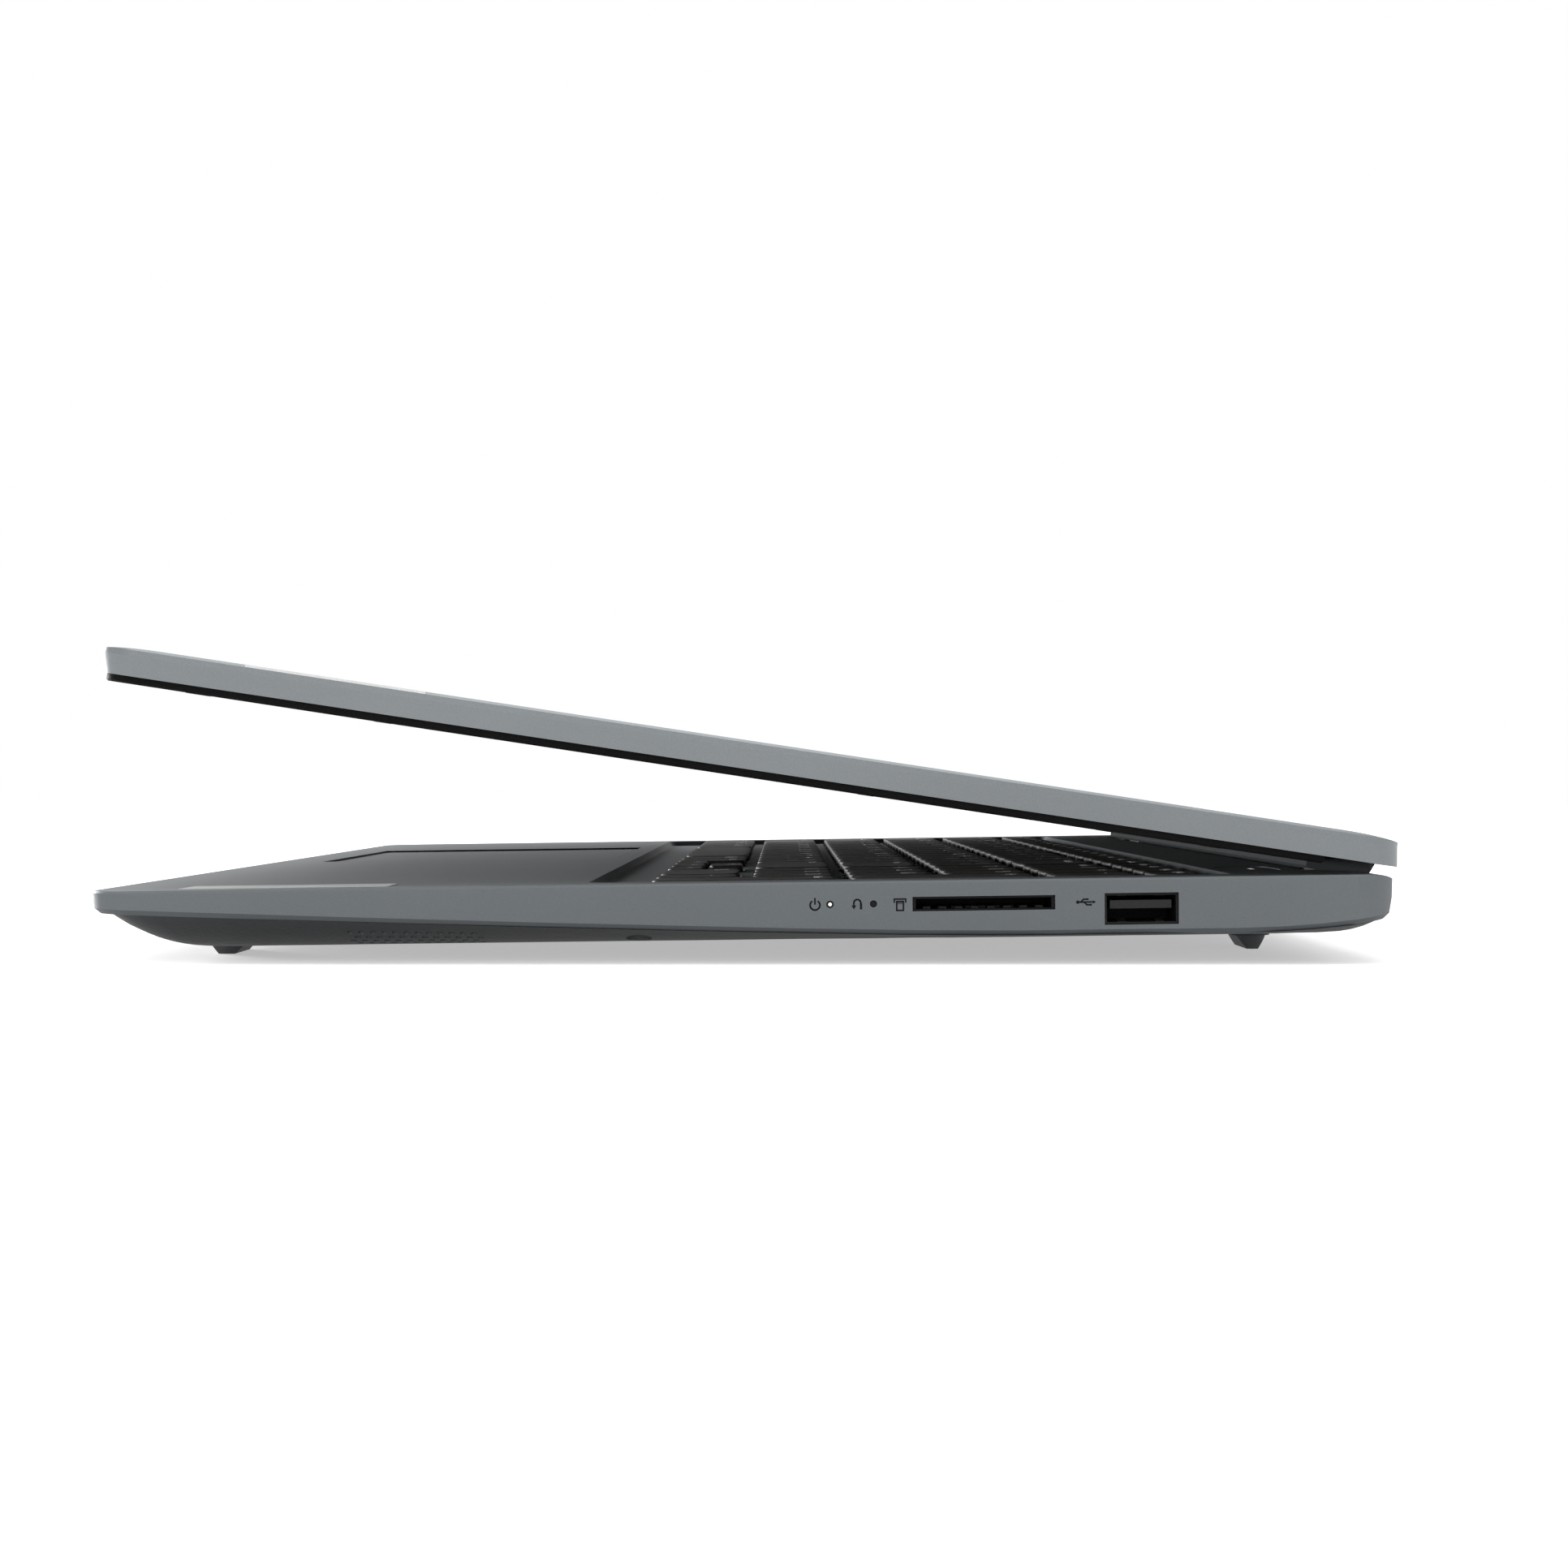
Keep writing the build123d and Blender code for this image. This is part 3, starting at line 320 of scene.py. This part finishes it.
# %% Metals and boards
finish("hinge_steel", (0.20, 0.20, 0.20), (0.34, 0.34, 0.33), 0.35, metallic=1.0, bump=0.15,
       stretch=(400, 4000, 4000))
finish("nickel_shell", (0.42, 0.41, 0.39), (0.60, 0.59, 0.56), 0.30, metallic=1.0, bump=0.10,
       stretch=(600, 5000, 5000))
finish("rolled_sheet", (0.30, 0.30, 0.31), (0.44, 0.44, 0.45), 0.38, metallic=1.0, bump=0.08,
       stretch=(300, 3000, 3000))
finish("badge_satin", (0.30, 0.32, 0.33), (0.42, 0.44, 0.45), 0.38, metallic=0.8, bump=0.08,
       stretch=(5000, 400, 5000))
finish("black_screw", (0.03, 0.03, 0.03), (0.07, 0.07, 0.07), 0.4, metallic=0.8, grain_mm=0.2, bump=0.1,
       patch_mm=3)
finish("spring_dark", (0.05, 0.05, 0.05), (0.10, 0.10, 0.10), 0.4, metallic=1.0, bump=0.05,
       stretch=(500, 3000, 3000))
finish("gold_contact", (0.60, 0.42, 0.16), (0.83, 0.62, 0.28), 0.25, metallic=1.0, grain_mm=0.15, bump=0.05,
       patch_mm=2)
finish("bare_copper", (0.50, 0.22, 0.12), (0.72, 0.36, 0.22), 0.3, metallic=1.0, bump=0.1,
       stretch=(4000, 300, 4000))
finish("green_board", (0.004, 0.030, 0.016), (0.012, 0.060, 0.035), 0.35, grain_mm=0.8, bump=0.2,
       patch_mm=8, coat=0.4)
finish("wrapped_cells", (0.010, 0.010, 0.012), (0.024, 0.024, 0.028), 0.4, grain_mm=0.6, bump=0.15,
       patch_mm=30)
finish("flat_cable", (0.012, 0.012, 0.014), (0.030, 0.030, 0.034), 0.35, bump=0.1, stretch=(200, 3000, 200))
finish("white_sweep", (0.58, 0.58, 0.58), (0.61, 0.61, 0.61), 0.7, grain_mm=2.0, bump=0.0, patch_mm=600,
       dust_amount=0.0, glow=0.75)
floor.data.materials.append(FINISHES["white_sweep"])
print("finishes:", len(FINISHES))

# %% [markdown]
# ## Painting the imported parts
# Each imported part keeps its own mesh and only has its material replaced. The table goes from a finish to
# the parts that wear it, so a part that is left out is easy to find: the last line prints any part with no
# finish.

# %% Which part wears which finish
KEY_GROUPS = [name for name in NODES if name.startswith(("keys_", "numpad_"))]
KEY_GROUPS += ["space_bar", "enter_key", "arrow_keys"]
WEARS = {
    "grey_paint": ["lid_back_cover"],
    "hinge_bar_painted_shade": ["hinge_bar_cover"],
    "deck_paint": ["top_case", "touchpad", "power_button"],
    "underside_grey_and_painted_shade": ["bottom_cover"],
    "bezel_moulding": ["lid_bezel", "privacy_shutter"],
    "key_moulding": KEY_GROUPS,
    "foot_rubber": ["front_feet", "rear_feet"],
    "matt_rubber": ["lid_bumpers"],
    "socket_black": ["audio_jack", "dc_jack", "reset_button", "fan_housing", "fan_rotor", "speaker_left",
                     "speaker_right", "usb_port_right", "usb_port_left", "sd_card_slot", "status_lamp"],
    "screen_film": ["display_screen"],
    "pale_label": ["palmrest_label"],
    "lamp_lens": ["power_lamp"],
    "lens_glass": ["webcam_lens"],
    "hinge_steel": ["hinge_leaf_left", "hinge_leaf_right", "hinge_bracket_left", "hinge_bracket_right"],
    "nickel_shell": ["hdmi_port", "usb_c_port"],
    "rolled_sheet": ["display_panel", "keyboard_plate"],
    "badge_satin": ["lid_badge"],
    "black_screw": ["bottom_screws", "lid_screws"],
    "bare_copper": ["heat_sink"],
    "green_board": ["mainboard", "io_board", "webcam_module", "ssd_module", "memory_module", "wifi_card"],
    "wrapped_cells": ["battery_pack"],
    "flat_cable": ["io_ribbon", "display_cable", "antenna_pair"],
}
for look, members in WEARS.items():
    for member in members:
        NODES[member].data.materials.clear()
        NODES[member].data.materials.append(FINISHES[look])
print("unpainted:", sorted(set(NODES) - {member for members in WEARS.values() for member in members}))

# %% [markdown]
# ## Key caps
# A key cap is a thin plastic tile with a hollow for the fingertip, rounded edges and a front edge that bows
# towards the typist. It could be a bevelled box, but the hollow and the bow need curved faces. So each cap
# is one closed surface of two parameters: an angle that goes round a rounded rectangle, and rings that
# start at the middle of the top, run out to the edge, roll over it and go down the side. All the caps of a
# group are one piece.

# %% The key layout, in millimetres on the deck
KEY_UNIT, KEY_PITCH, KEY_GAP = 18.62, 18.5, 2.9
KEYS_LEFT, KEYS_FRONT, FUNCTION_DEPTH = -167.6, 101.2, 9.2
PAD_LEFT, PAD_UNIT = 103.6, 16.0
KEY_TOP, KEY_BOTTOM = 0.2, -2.0


def columns(left, unit, widths):
    """Left and right edges of keys side by side: widths are in key units, and gaps come off both edges."""
    steps = left + unit * np.concatenate([[0], np.cumsum(widths)])
    return [(a + KEY_GAP / 2, b - KEY_GAP / 2) for a, b in zip(steps[:-1], steps[1:])]


def row_edges(row):
    """Front and back of a key row, counted from the user; row 5 holds the shallow function keys."""
    front = KEYS_FRONT + row * KEY_PITCH
    return front, front + (FUNCTION_DEPTH if row == 5 else KEY_PITCH - KEY_GAP)


def key_row(row, widths, start=0.0):
    """The keys of one row of the main block."""
    return [(edges, row_edges(row)) for edges in columns(KEYS_LEFT + start * KEY_UNIT, KEY_UNIT, widths)]


front, back = row_edges(0)
waist = (front + back) / 2
arrows = columns(KEYS_LEFT + 11.5 * KEY_UNIT, KEY_UNIT, [1, 1, 1])
pads = columns(PAD_LEFT, PAD_UNIT, [1, 1, 1, 1])
LAYOUT = {
    "keys_bottom_row": key_row(0, [1.25, 1, 1, 1.25]) + key_row(0, [1, 1], start=9.5),
    "keys_lower_row": key_row(1, [2.25] + [1] * 10 + [2.25]),
    "keys_home_row": key_row(2, [1.75] + [1] * 11),
    "keys_upper_row": key_row(3, [1.5] + [1] * 13),
    "keys_number_row": key_row(4, [1] * 13 + [1.5]),
    "keys_function_row": key_row(5, [14.5 / 16] * 16),
    "space_bar": key_row(0, [5], start=4.5),
    "enter_key": key_row(2, [1.75], start=12.75),
    "arrow_keys": [(arrows[0], (front, waist - 0.45)), (arrows[1], (front, waist - 0.45)),
                   (arrows[1], (waist + 0.45, back)), (arrows[2], (front, waist - 0.45))],
    "numpad_keys": [(pads[c], row_edges(r)) for r in (1, 2, 3) for c in (0, 1, 2)]
                   + [(pads[c], row_edges(r)) for r in (4, 5) for c in (0, 1, 2, 3)]
                   + [((pads[0][0], pads[1][1]), (front, back)), (pads[2], (front, back))],
    "numpad_enter": [(pads[3], (front, row_edges(1)[1]))],
    "numpad_plus": [(pads[3], (row_edges(2)[0], row_edges(3)[1]))],
}
print("keys:", sum(len(keys) for keys in LAYOUT.values()))

# %% Small mesh tools
def piece(name, points, faces, look, body, place=DECK, smooth=True):
    """A mesh drawn in millimetres, carried to its place, painted, and riding on a body."""
    mesh = bpy.data.meshes.new(name)
    mesh.from_pydata((np.asarray(points) * MM).tolist(), [], faces)
    mesh.transform(place)
    mesh.validate()
    mesh.polygons.foreach_set("use_smooth", np.full(len(mesh.polygons), smooth))
    made = bpy.data.objects.new(name, mesh)
    bpy.context.scene.collection.objects.link(made)
    mesh.materials.append(FINISHES[look])
    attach(made, body)
    return made


def grid_faces(rings, around, first=0):
    """Quads between rings of points that close round on themselves, rings running away from the first."""
    i, j = np.meshgrid(np.arange(rings - 1), np.arange(around), indexing="ij")
    k = (j + 1) % around
    return (first + np.stack([i * around + j, (i + 1) * around + j, (i + 1) * around + k, i * around + k],
                             -1)).reshape(-1, 4).tolist()


def joined(shapes):
    """Several (points, faces) pairs as one pair, each one's faces counting on from the points before it."""
    points, faces, start = [], [], 0
    for some, around in shapes:
        points.append(some)
        faces += [[start + corner for corner in face] for face in around]
        start += len(some)
    return np.concatenate(points), faces


def top_height(u, v):
    """Height of a key's top: a shallow bowl, deepest in the middle. u and v run from -1 to 1 across it."""
    return KEY_TOP - HOLLOW * np.clip(1 - (u ** 2 + v ** 2) / 2, 0, 1)


# %% One key cap
HOLLOW = 0.22
ROUND = 0.35
BOW = 0.7
AROUND = 36


def key_cap(key):
    """Points of one cap. Outline: x = a cos(t)^(2/n), y = b sin(t)^(2/n), a rounded rectangle for n = 9,
    whose front corners are drawn back by BOW (x/a)^2, so that the front edge bows out in the middle. Rings
    scale it from the middle out, roll it over a quarter circle and drop it down the side; the top follows
    top_height."""
    (left, right), (near, far) = key
    a, b = (right - left) / 2, (far - near) / 2
    bow = min(BOW, b / 6)
    t = np.linspace(0, 2 * np.pi, AROUND, endpoint=False) + np.pi / AROUND
    square = lambda wave, n: np.sign(wave) * np.abs(wave) ** (2 / n)
    u, v = square(np.cos(t), 9), square(np.sin(t), 9)
    rolls = np.radians([0, 25, 50, 75])
    scale = [0.02, 0.45, 0.8] + [1.0] * 5 + [1.0, 0.02]
    inset = [0, 0, 0] + list(ROUND * (1 - np.sin(rolls))) + [0.0, 0.0, 0]
    drop = [0, 0, 0] + list(ROUND * (1 - np.cos(rolls))) + [ROUND + 0.02, None, None]
    rings = []
    for size, pulled, fallen in zip(scale, inset, drop):
        x = u * size * (a - pulled)
        y = v * size * (b - pulled)
        y = y + np.where(v < 0, -v, 0) * size * bow * (u * size) ** 2
        z = np.full(AROUND, KEY_BOTTOM) if fallen is None else top_height(u * size, v * size) - fallen
        rings.append(np.stack([x + (left + right) / 2, y + (near + far) / 2, z], -1))
    return np.concatenate(rings), len(rings)


for group, keys in LAYOUT.items():
    points, faces = [], []
    for key in keys:
        cap, rings = key_cap(key)
        start = sum(len(p) for p in points)
        points.append(cap)
        faces += grid_faces(rings, AROUND, start)
        faces.append([start + j for j in range(AROUND)])
        faces.append([start + len(cap) - 1 - j for j in range(AROUND)])
    piece(group + "_caps", np.concatenate(points), faces, "key_moulding", group)
    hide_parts(group)

# %% [markdown]
# ## Legends
# The letters on a key are ink a few hundredths of a millimetre thick. A texture could show them, but they
# would blur up close, so each legend is real text turned into a mesh, then bent onto the key's hollow:
# every point takes the height of the top under it. Only plain words and signs that any keyboard has are
# used.

# %% What is printed on each key
WORDS = {
    "keys_bottom_row": ["Ctrl", "Fn", "□", "Alt", "Alt", "Ctrl"],
    "keys_lower_row": ["Shift", "Z", "X", "C", "V", "B", "N", "M", "<\n,", ">\n.", "?\n/", "Shift"],
    "keys_home_row": ["CapsLock", "A", "S", "D", "F", "G", "H", "J", "K", "L", ":\n;", "\"\n'"],
    "keys_upper_row": ["Tab", "Q", "W", "E", "R", "T", "Y", "U", "I", "O", "P", "{\n[", "}\n]", "|\n\\"],
    "keys_number_row": ["~\n`", "!\n1", "@\n2", "#\n3", "$\n4", "%\n5", "^\n6", "&\n7", "*\n8", "(\n9",
                        ")\n0", "_\n-", "+\n=", "Backspace"],
    "keys_function_row": ["Esc"] + ["F%d" % n for n in range(1, 13)] + ["Insert", "PrtSc", "Delete"],
    "space_bar": [""],
    "enter_key": ["Enter"],
    "arrow_keys": ["←", "↓", "↑", "→"],
    "numpad_keys": ["1", "2", "3", "4", "5", "6", "7", "8", "9", "NumLk", "/", "*", "-", "Home", "End",
                    "PgUp", "PgDn", "0", "."],
    "numpad_enter": ["Enter"],
    "numpad_plus": ["+"],
}
LETTER, SIGN, WORD = 4.5, 3.3, 2.5


def legend_mesh(words, key):
    """Text as a thin solid in deck millimetres, near the key's back left corner, lying on its hollow."""
    (left, right), (near, far) = key
    size = WORD if len(words) > 3 or (far - near) < 10 else SIGN if "\n" in words else LETTER
    text = bpy.data.curves.new("legend", "FONT")
    text.body, text.size, text.extrude, text.resolution_u = words, size, 0.02, 2
    text.space_line = 1.25
    holder = bpy.data.objects.new("legend", text)
    bpy.context.scene.collection.objects.link(holder)
    flat = bpy.data.meshes.new_from_object(holder.evaluated_get(bpy.context.evaluated_depsgraph_get()))
    bpy.data.objects.remove(holder)
    bpy.data.curves.remove(text)
    points = np.zeros(len(flat.vertices) * 3)
    flat.vertices.foreach_get("co", points)
    points = points.reshape(-1, 3)
    margin = 2.0 if far - near > 10 else 1.6
    points[:, 0] += left + margin
    points[:, 1] += far - margin - size * 0.72
    u = (points[:, 0] - (left + right) / 2) * 2 / (right - left)
    v = (points[:, 1] - (near + far) / 2) * 2 / (far - near)
    points[:, 2] += top_height(u, v) + 0.015
    faces = [list(face.vertices) for face in flat.polygons]
    bpy.data.meshes.remove(flat)
    return points, faces


for group, keys in LAYOUT.items():
    inked = [legend_mesh(words, key) for key, words in zip(keys, WORDS[group]) if words]
    if inked:
        ink = piece(group + "_legends", *joined(inked), "printed_ink", group, smooth=False)

# %% [markdown]
# ## Small things drawn as prisms
# Icons, contacts and springs are all flat outlines given some thickness. One tool makes them: it copies an
# outline to two depths and joins the copies with a band of quads, so every one is closed. The side of the
# base leans in by 4 degrees, so an icon follows that slope or one half of it would sink into the paint.

# %% Outlines in a plane, and the prisms made from them
def prisms(outlines, low, high, axes, lean=None):
    """Closed prisms. Each outline is counter-clockwise in the plane of the first two axes named; low and high
    are places along the third. lean(points) is added to both, so the prisms follow a sloping face."""
    points, faces, start = [], [], 0
    for outline in outlines:
        flat = np.asarray(outline, float)
        n = len(flat)
        slope = lean(flat) if lean else 0.0
        for level in (low, high):
            ring = np.zeros((n, 3))
            ring[:, axes[0]], ring[:, axes[1]], ring[:, axes[2]] = flat[:, 0], flat[:, 1], level + slope
            points.append(ring)
        k = np.arange(n)
        band = np.stack([k, np.roll(k, -1), np.roll(k, -1) + n, k + n], -1) + start
        faces += band.tolist() + [(start + k[::-1]).tolist(), (start + n + k).tolist()]
        start += 2 * n
    return np.concatenate(points), faces


def mirrored(points, faces):
    """The same pieces on the left-hand side: X changes sign, so every face is wound the other way."""
    return points * (-1, 1, 1), [face[::-1] for face in faces]


def stroke(points, width, closed=False):
    """A drawn line as one small rectangle per step, each a little long so that corners fill."""
    path = np.asarray(points, float)
    if closed:
        path = np.concatenate([path, path[:1]])
    a, b = path[:-1], path[1:]
    along = (b - a) / np.linalg.norm(b - a, axis=1, keepdims=True)
    across = np.stack([-along[:, 1], along[:, 0]], -1) * width / 2
    reach = along * width * 0.3
    return list(np.stack([a - reach - across, b + reach - across, b + reach + across, a - reach + across], 1))


def arc(centre, radius, start, end, steps=18):
    """Points along an arc, angles in degrees, counter-clockwise."""
    t = np.radians(np.linspace(start, end, steps))
    return np.stack([centre[0] + radius * np.cos(t), centre[1] + radius * np.sin(t)], -1)


def dot(centre, radius):
    """A filled circle."""
    return arc(centre, radius, 0, 342, 20)


def box_outline(centre, wide, tall):
    """A filled rectangle."""
    return np.asarray(centre) + np.array([(-wide, -tall), (wide, -tall), (wide, tall), (-wide, tall)]) / 2


def side_lean(flat):
    """How far the side wall stands in from 180.1 mm at the height of each point."""
    return 0.07 * flat[:, 1]


# %% Icons printed beside the sockets
INK_LINE = 0.30


def shifted(outlines, place):
    """Outlines moved to their place on the side."""
    return [np.asarray(outline) + place for outline in outlines]


power_sign = stroke(arc((0, -0.12), 0.88, 128, 412), INK_LINE) + stroke([(0, 0.05), (0, 1.1)], INK_LINE)
reset_sign = stroke(np.concatenate([[(-0.62, -0.3)], arc((0, 0.2), 0.62, 180, 0), [(0.62, 0.0)]]), INK_LINE)
reset_sign += [box_outline((0.66, -0.42), 0.42, 1.1), [(-1.08, -0.22), (-0.62, -0.95), (-0.16, -0.22)]]
card_sign = [box_outline((0, 0.98), 2.33, 0.3)] + [box_outline((x, 0.62), 0.28, 0.6) for x in (-1.02, 1.02)]
card_sign += stroke([(-0.6, -1.05), (0.6, -1.05), (0.6, 0.55), (-0.6, 0.55)], INK_LINE, closed=True)
card_sign += [box_outline((x, 0.28), 0.16, 0.42) for x in (-0.3, 0.0, 0.3)]
bus_sign = stroke([(-1.4, 0), (1.3, 0)], INK_LINE)
bus_sign += [dot((-1.48, 0), 0.31), [(1.25, -0.3), (1.8, 0), (1.25, 0.3)]]
bus_sign += stroke([(-0.95, 0), (-0.45, 0.5), (0.15, 0.5)], INK_LINE) + [dot((0.28, 0.5), 0.2)]
bus_sign += stroke([(-0.35, 0), (0.15, -0.5), (0.7, -0.5)], INK_LINE)
bus_sign += [box_outline((0.85, -0.5), 0.36, 0.36)]
plug_sign = stroke(arc((0, 0), 0.85, 0, 340), INK_LINE, closed=True) + [dot((0, 0), 0.3)]
head_sign = stroke(arc((0, -0.1), 0.85, 0, 180), INK_LINE)
head_sign += [box_outline((s * 0.8, -0.45), 0.4, 0.8) for s in (-1, 1)]

right_ink = shifted(power_sign, (131.41, -4.03)) + shifted(reset_sign, (139.0, -4.06))
right_ink += shifted(card_sign, (146.66, -4.24)) + shifted(bus_sign, (180.0, -4.24))
left_ink = shifted(bus_sign, (174.6, -4.24)) + shifted(plug_sign, (201.6, -4.24))
left_ink += shifted(head_sign, (118.4, -4.24))
INK_FACES = (180.02, 180.112)            # the ink's back, just inside the paint, and its front
right_shape = prisms(right_ink, *INK_FACES, (1, 2, 0), side_lean)
left_shape = mirrored(*prisms(left_ink, *INK_FACES, (1, 2, 0), side_lean))
right_icons = piece("side_icons_right", *right_shape, "dark_ink", "base", smooth=False)
left_icons = piece("side_icons_left", *left_shape, "dark_ink", "base", smooth=False)

# %% [markdown]
# ## Inside the sockets
# A USB socket looks black with a dark grey tongue, four gold strips on the tongue's underside and four
# springs that press on a plug. A spring is a strip that bows into the opening and back, z = depth sin(pi s)
# along its length.

# %% Tongues, contacts and springs
USB_Z, USB_PLACES = -5.55, {"right": 190.0, "left": 185.0}


def bowed_strip(start, end, base, depth, thick):
    """Outline in Z and X of a leaf spring: out along a half sine, and back one thickness away."""
    s = np.linspace(0, 1, 13)
    x, z = start + (end - start) * s, base + depth * np.sin(np.pi * s)
    edge = np.sign(depth) * thick
    ring = np.concatenate([np.stack([z, x], -1), np.stack([z - edge, x], -1)[::-1]])
    turning = np.sum(ring[:, 0] * np.roll(ring[:, 1], -1) - np.roll(ring[:, 0], -1) * ring[:, 1])
    return ring if turning > 0 else ring[::-1]


def usb_details(side, y):
    """The tongue, its four contacts, and two springs above and two below."""
    lo, hi = USB_Z + 0.02, USB_Z + 1.48
    tongue = [[(y - 5.52, lo), (y + 5.52, lo), (y + 5.52, hi), (y - 5.52, hi)]]
    contacts = [box_outline((y + n, USB_Z), 1.04, 0.1) for n in (-3.5, -1.0, 1.0, 3.5)]
    springs = []
    for place in (y - 3.4, y + 3.4):
        for base, depth in ((USB_Z + 2.36, -0.45), (USB_Z - 2.36, 0.45)):
            strip = bowed_strip(172.0, 178.4, base, depth, 0.14)
            springs.append(prisms([strip], place - 0.8, place + 0.8, (2, 0, 1)))
    shapes = {"tongue": prisms(tongue, 167.6, 178.24, (1, 2, 0)),
              "contacts": prisms(contacts, 169.0, 177.0, (1, 2, 0)), "springs": joined(springs)}
    looks = {"tongue": ("tongue_grey", "port_black"), "contacts": ("gold_contact", "connector_steel"),
             "springs": ("spring_dark", "port_black")}
    for part, shape in shapes.items():
        if side == "left":
            shape = mirrored(*shape)
        made = piece("usb_%s_%s" % (part, side), *shape, looks[part][0], "base", smooth=False)


for side, y in USB_PLACES.items():
    usb_details(side, y)

# %% [markdown]
# ## The painted shade round the touchpad
# The touchpad lies 0.45 mm under the palm rest. Seen from the side, only the far wall of its recess shows,
# as a thin dark line of shade. That shade is painted: thin dark strips stand against the wall in the gap,
# clear of the pad so that the pad can still tilt.

# %% Painted shade on the touchpad recess wall
def frame_outlines(x, y, wide):
    """Four rectangles along the inside of a rectangle's edges."""
    (left, right), (near, far) = x, y
    middle, centre = (left + right) / 2, (near + far) / 2
    sides = [box_outline((left + wide / 2, centre), wide, far - near)]
    sides += [box_outline((right - wide / 2, centre), wide, far - near)]
    sides += [box_outline((middle, near + wide / 2), right - left - 2.2 * wide, wide)]
    return sides + [box_outline((middle, far - wide / 2), right - left - 2.2 * wide, wide)]


recess_shade_strips = frame_outlines((-96.84, 6.04), (12.06, 84.94), 0.12)
pad_painted_shade = piece("touchpad_recess_painted_shade", *prisms(recess_shade_strips, -1.3, -0.03, (0, 1, 2)), "dark_ink", "base",
                 smooth=False)

# %% Memory card contacts and the lit point of the status lamp
teeth = [box_outline((161.7 + 2.9 * n, -5.02), 1.3, 0.34) for n in np.arange(-3.5, 4)]
card_teeth = piece("card_contacts", *prisms(teeth, 168.2, 177.0, (1, 2, 0)), "tongue_grey", "base",
                   smooth=False)
lit_point = prisms([dot((134.11, -4.05), 0.31)], 179.4, 179.74, (1, 2, 0))
core = piece("status_lamp_core", *lit_point, "lamp_lens", "base", smooth=False)

# %% The pale label that wraps over the lid's bevelled edge
wrap = [(6.83, 179.66), (6.38, 180.10), (6.32, 180.03), (6.74, 179.60), (6.74, 179.30), (6.83, 179.30)]
edge_label = piece("lid_edge_label", *prisms([wrap], 25.3, 58.0, (2, 0, 1)), "pale_label", "lid", place=LID,
                   smooth=False)
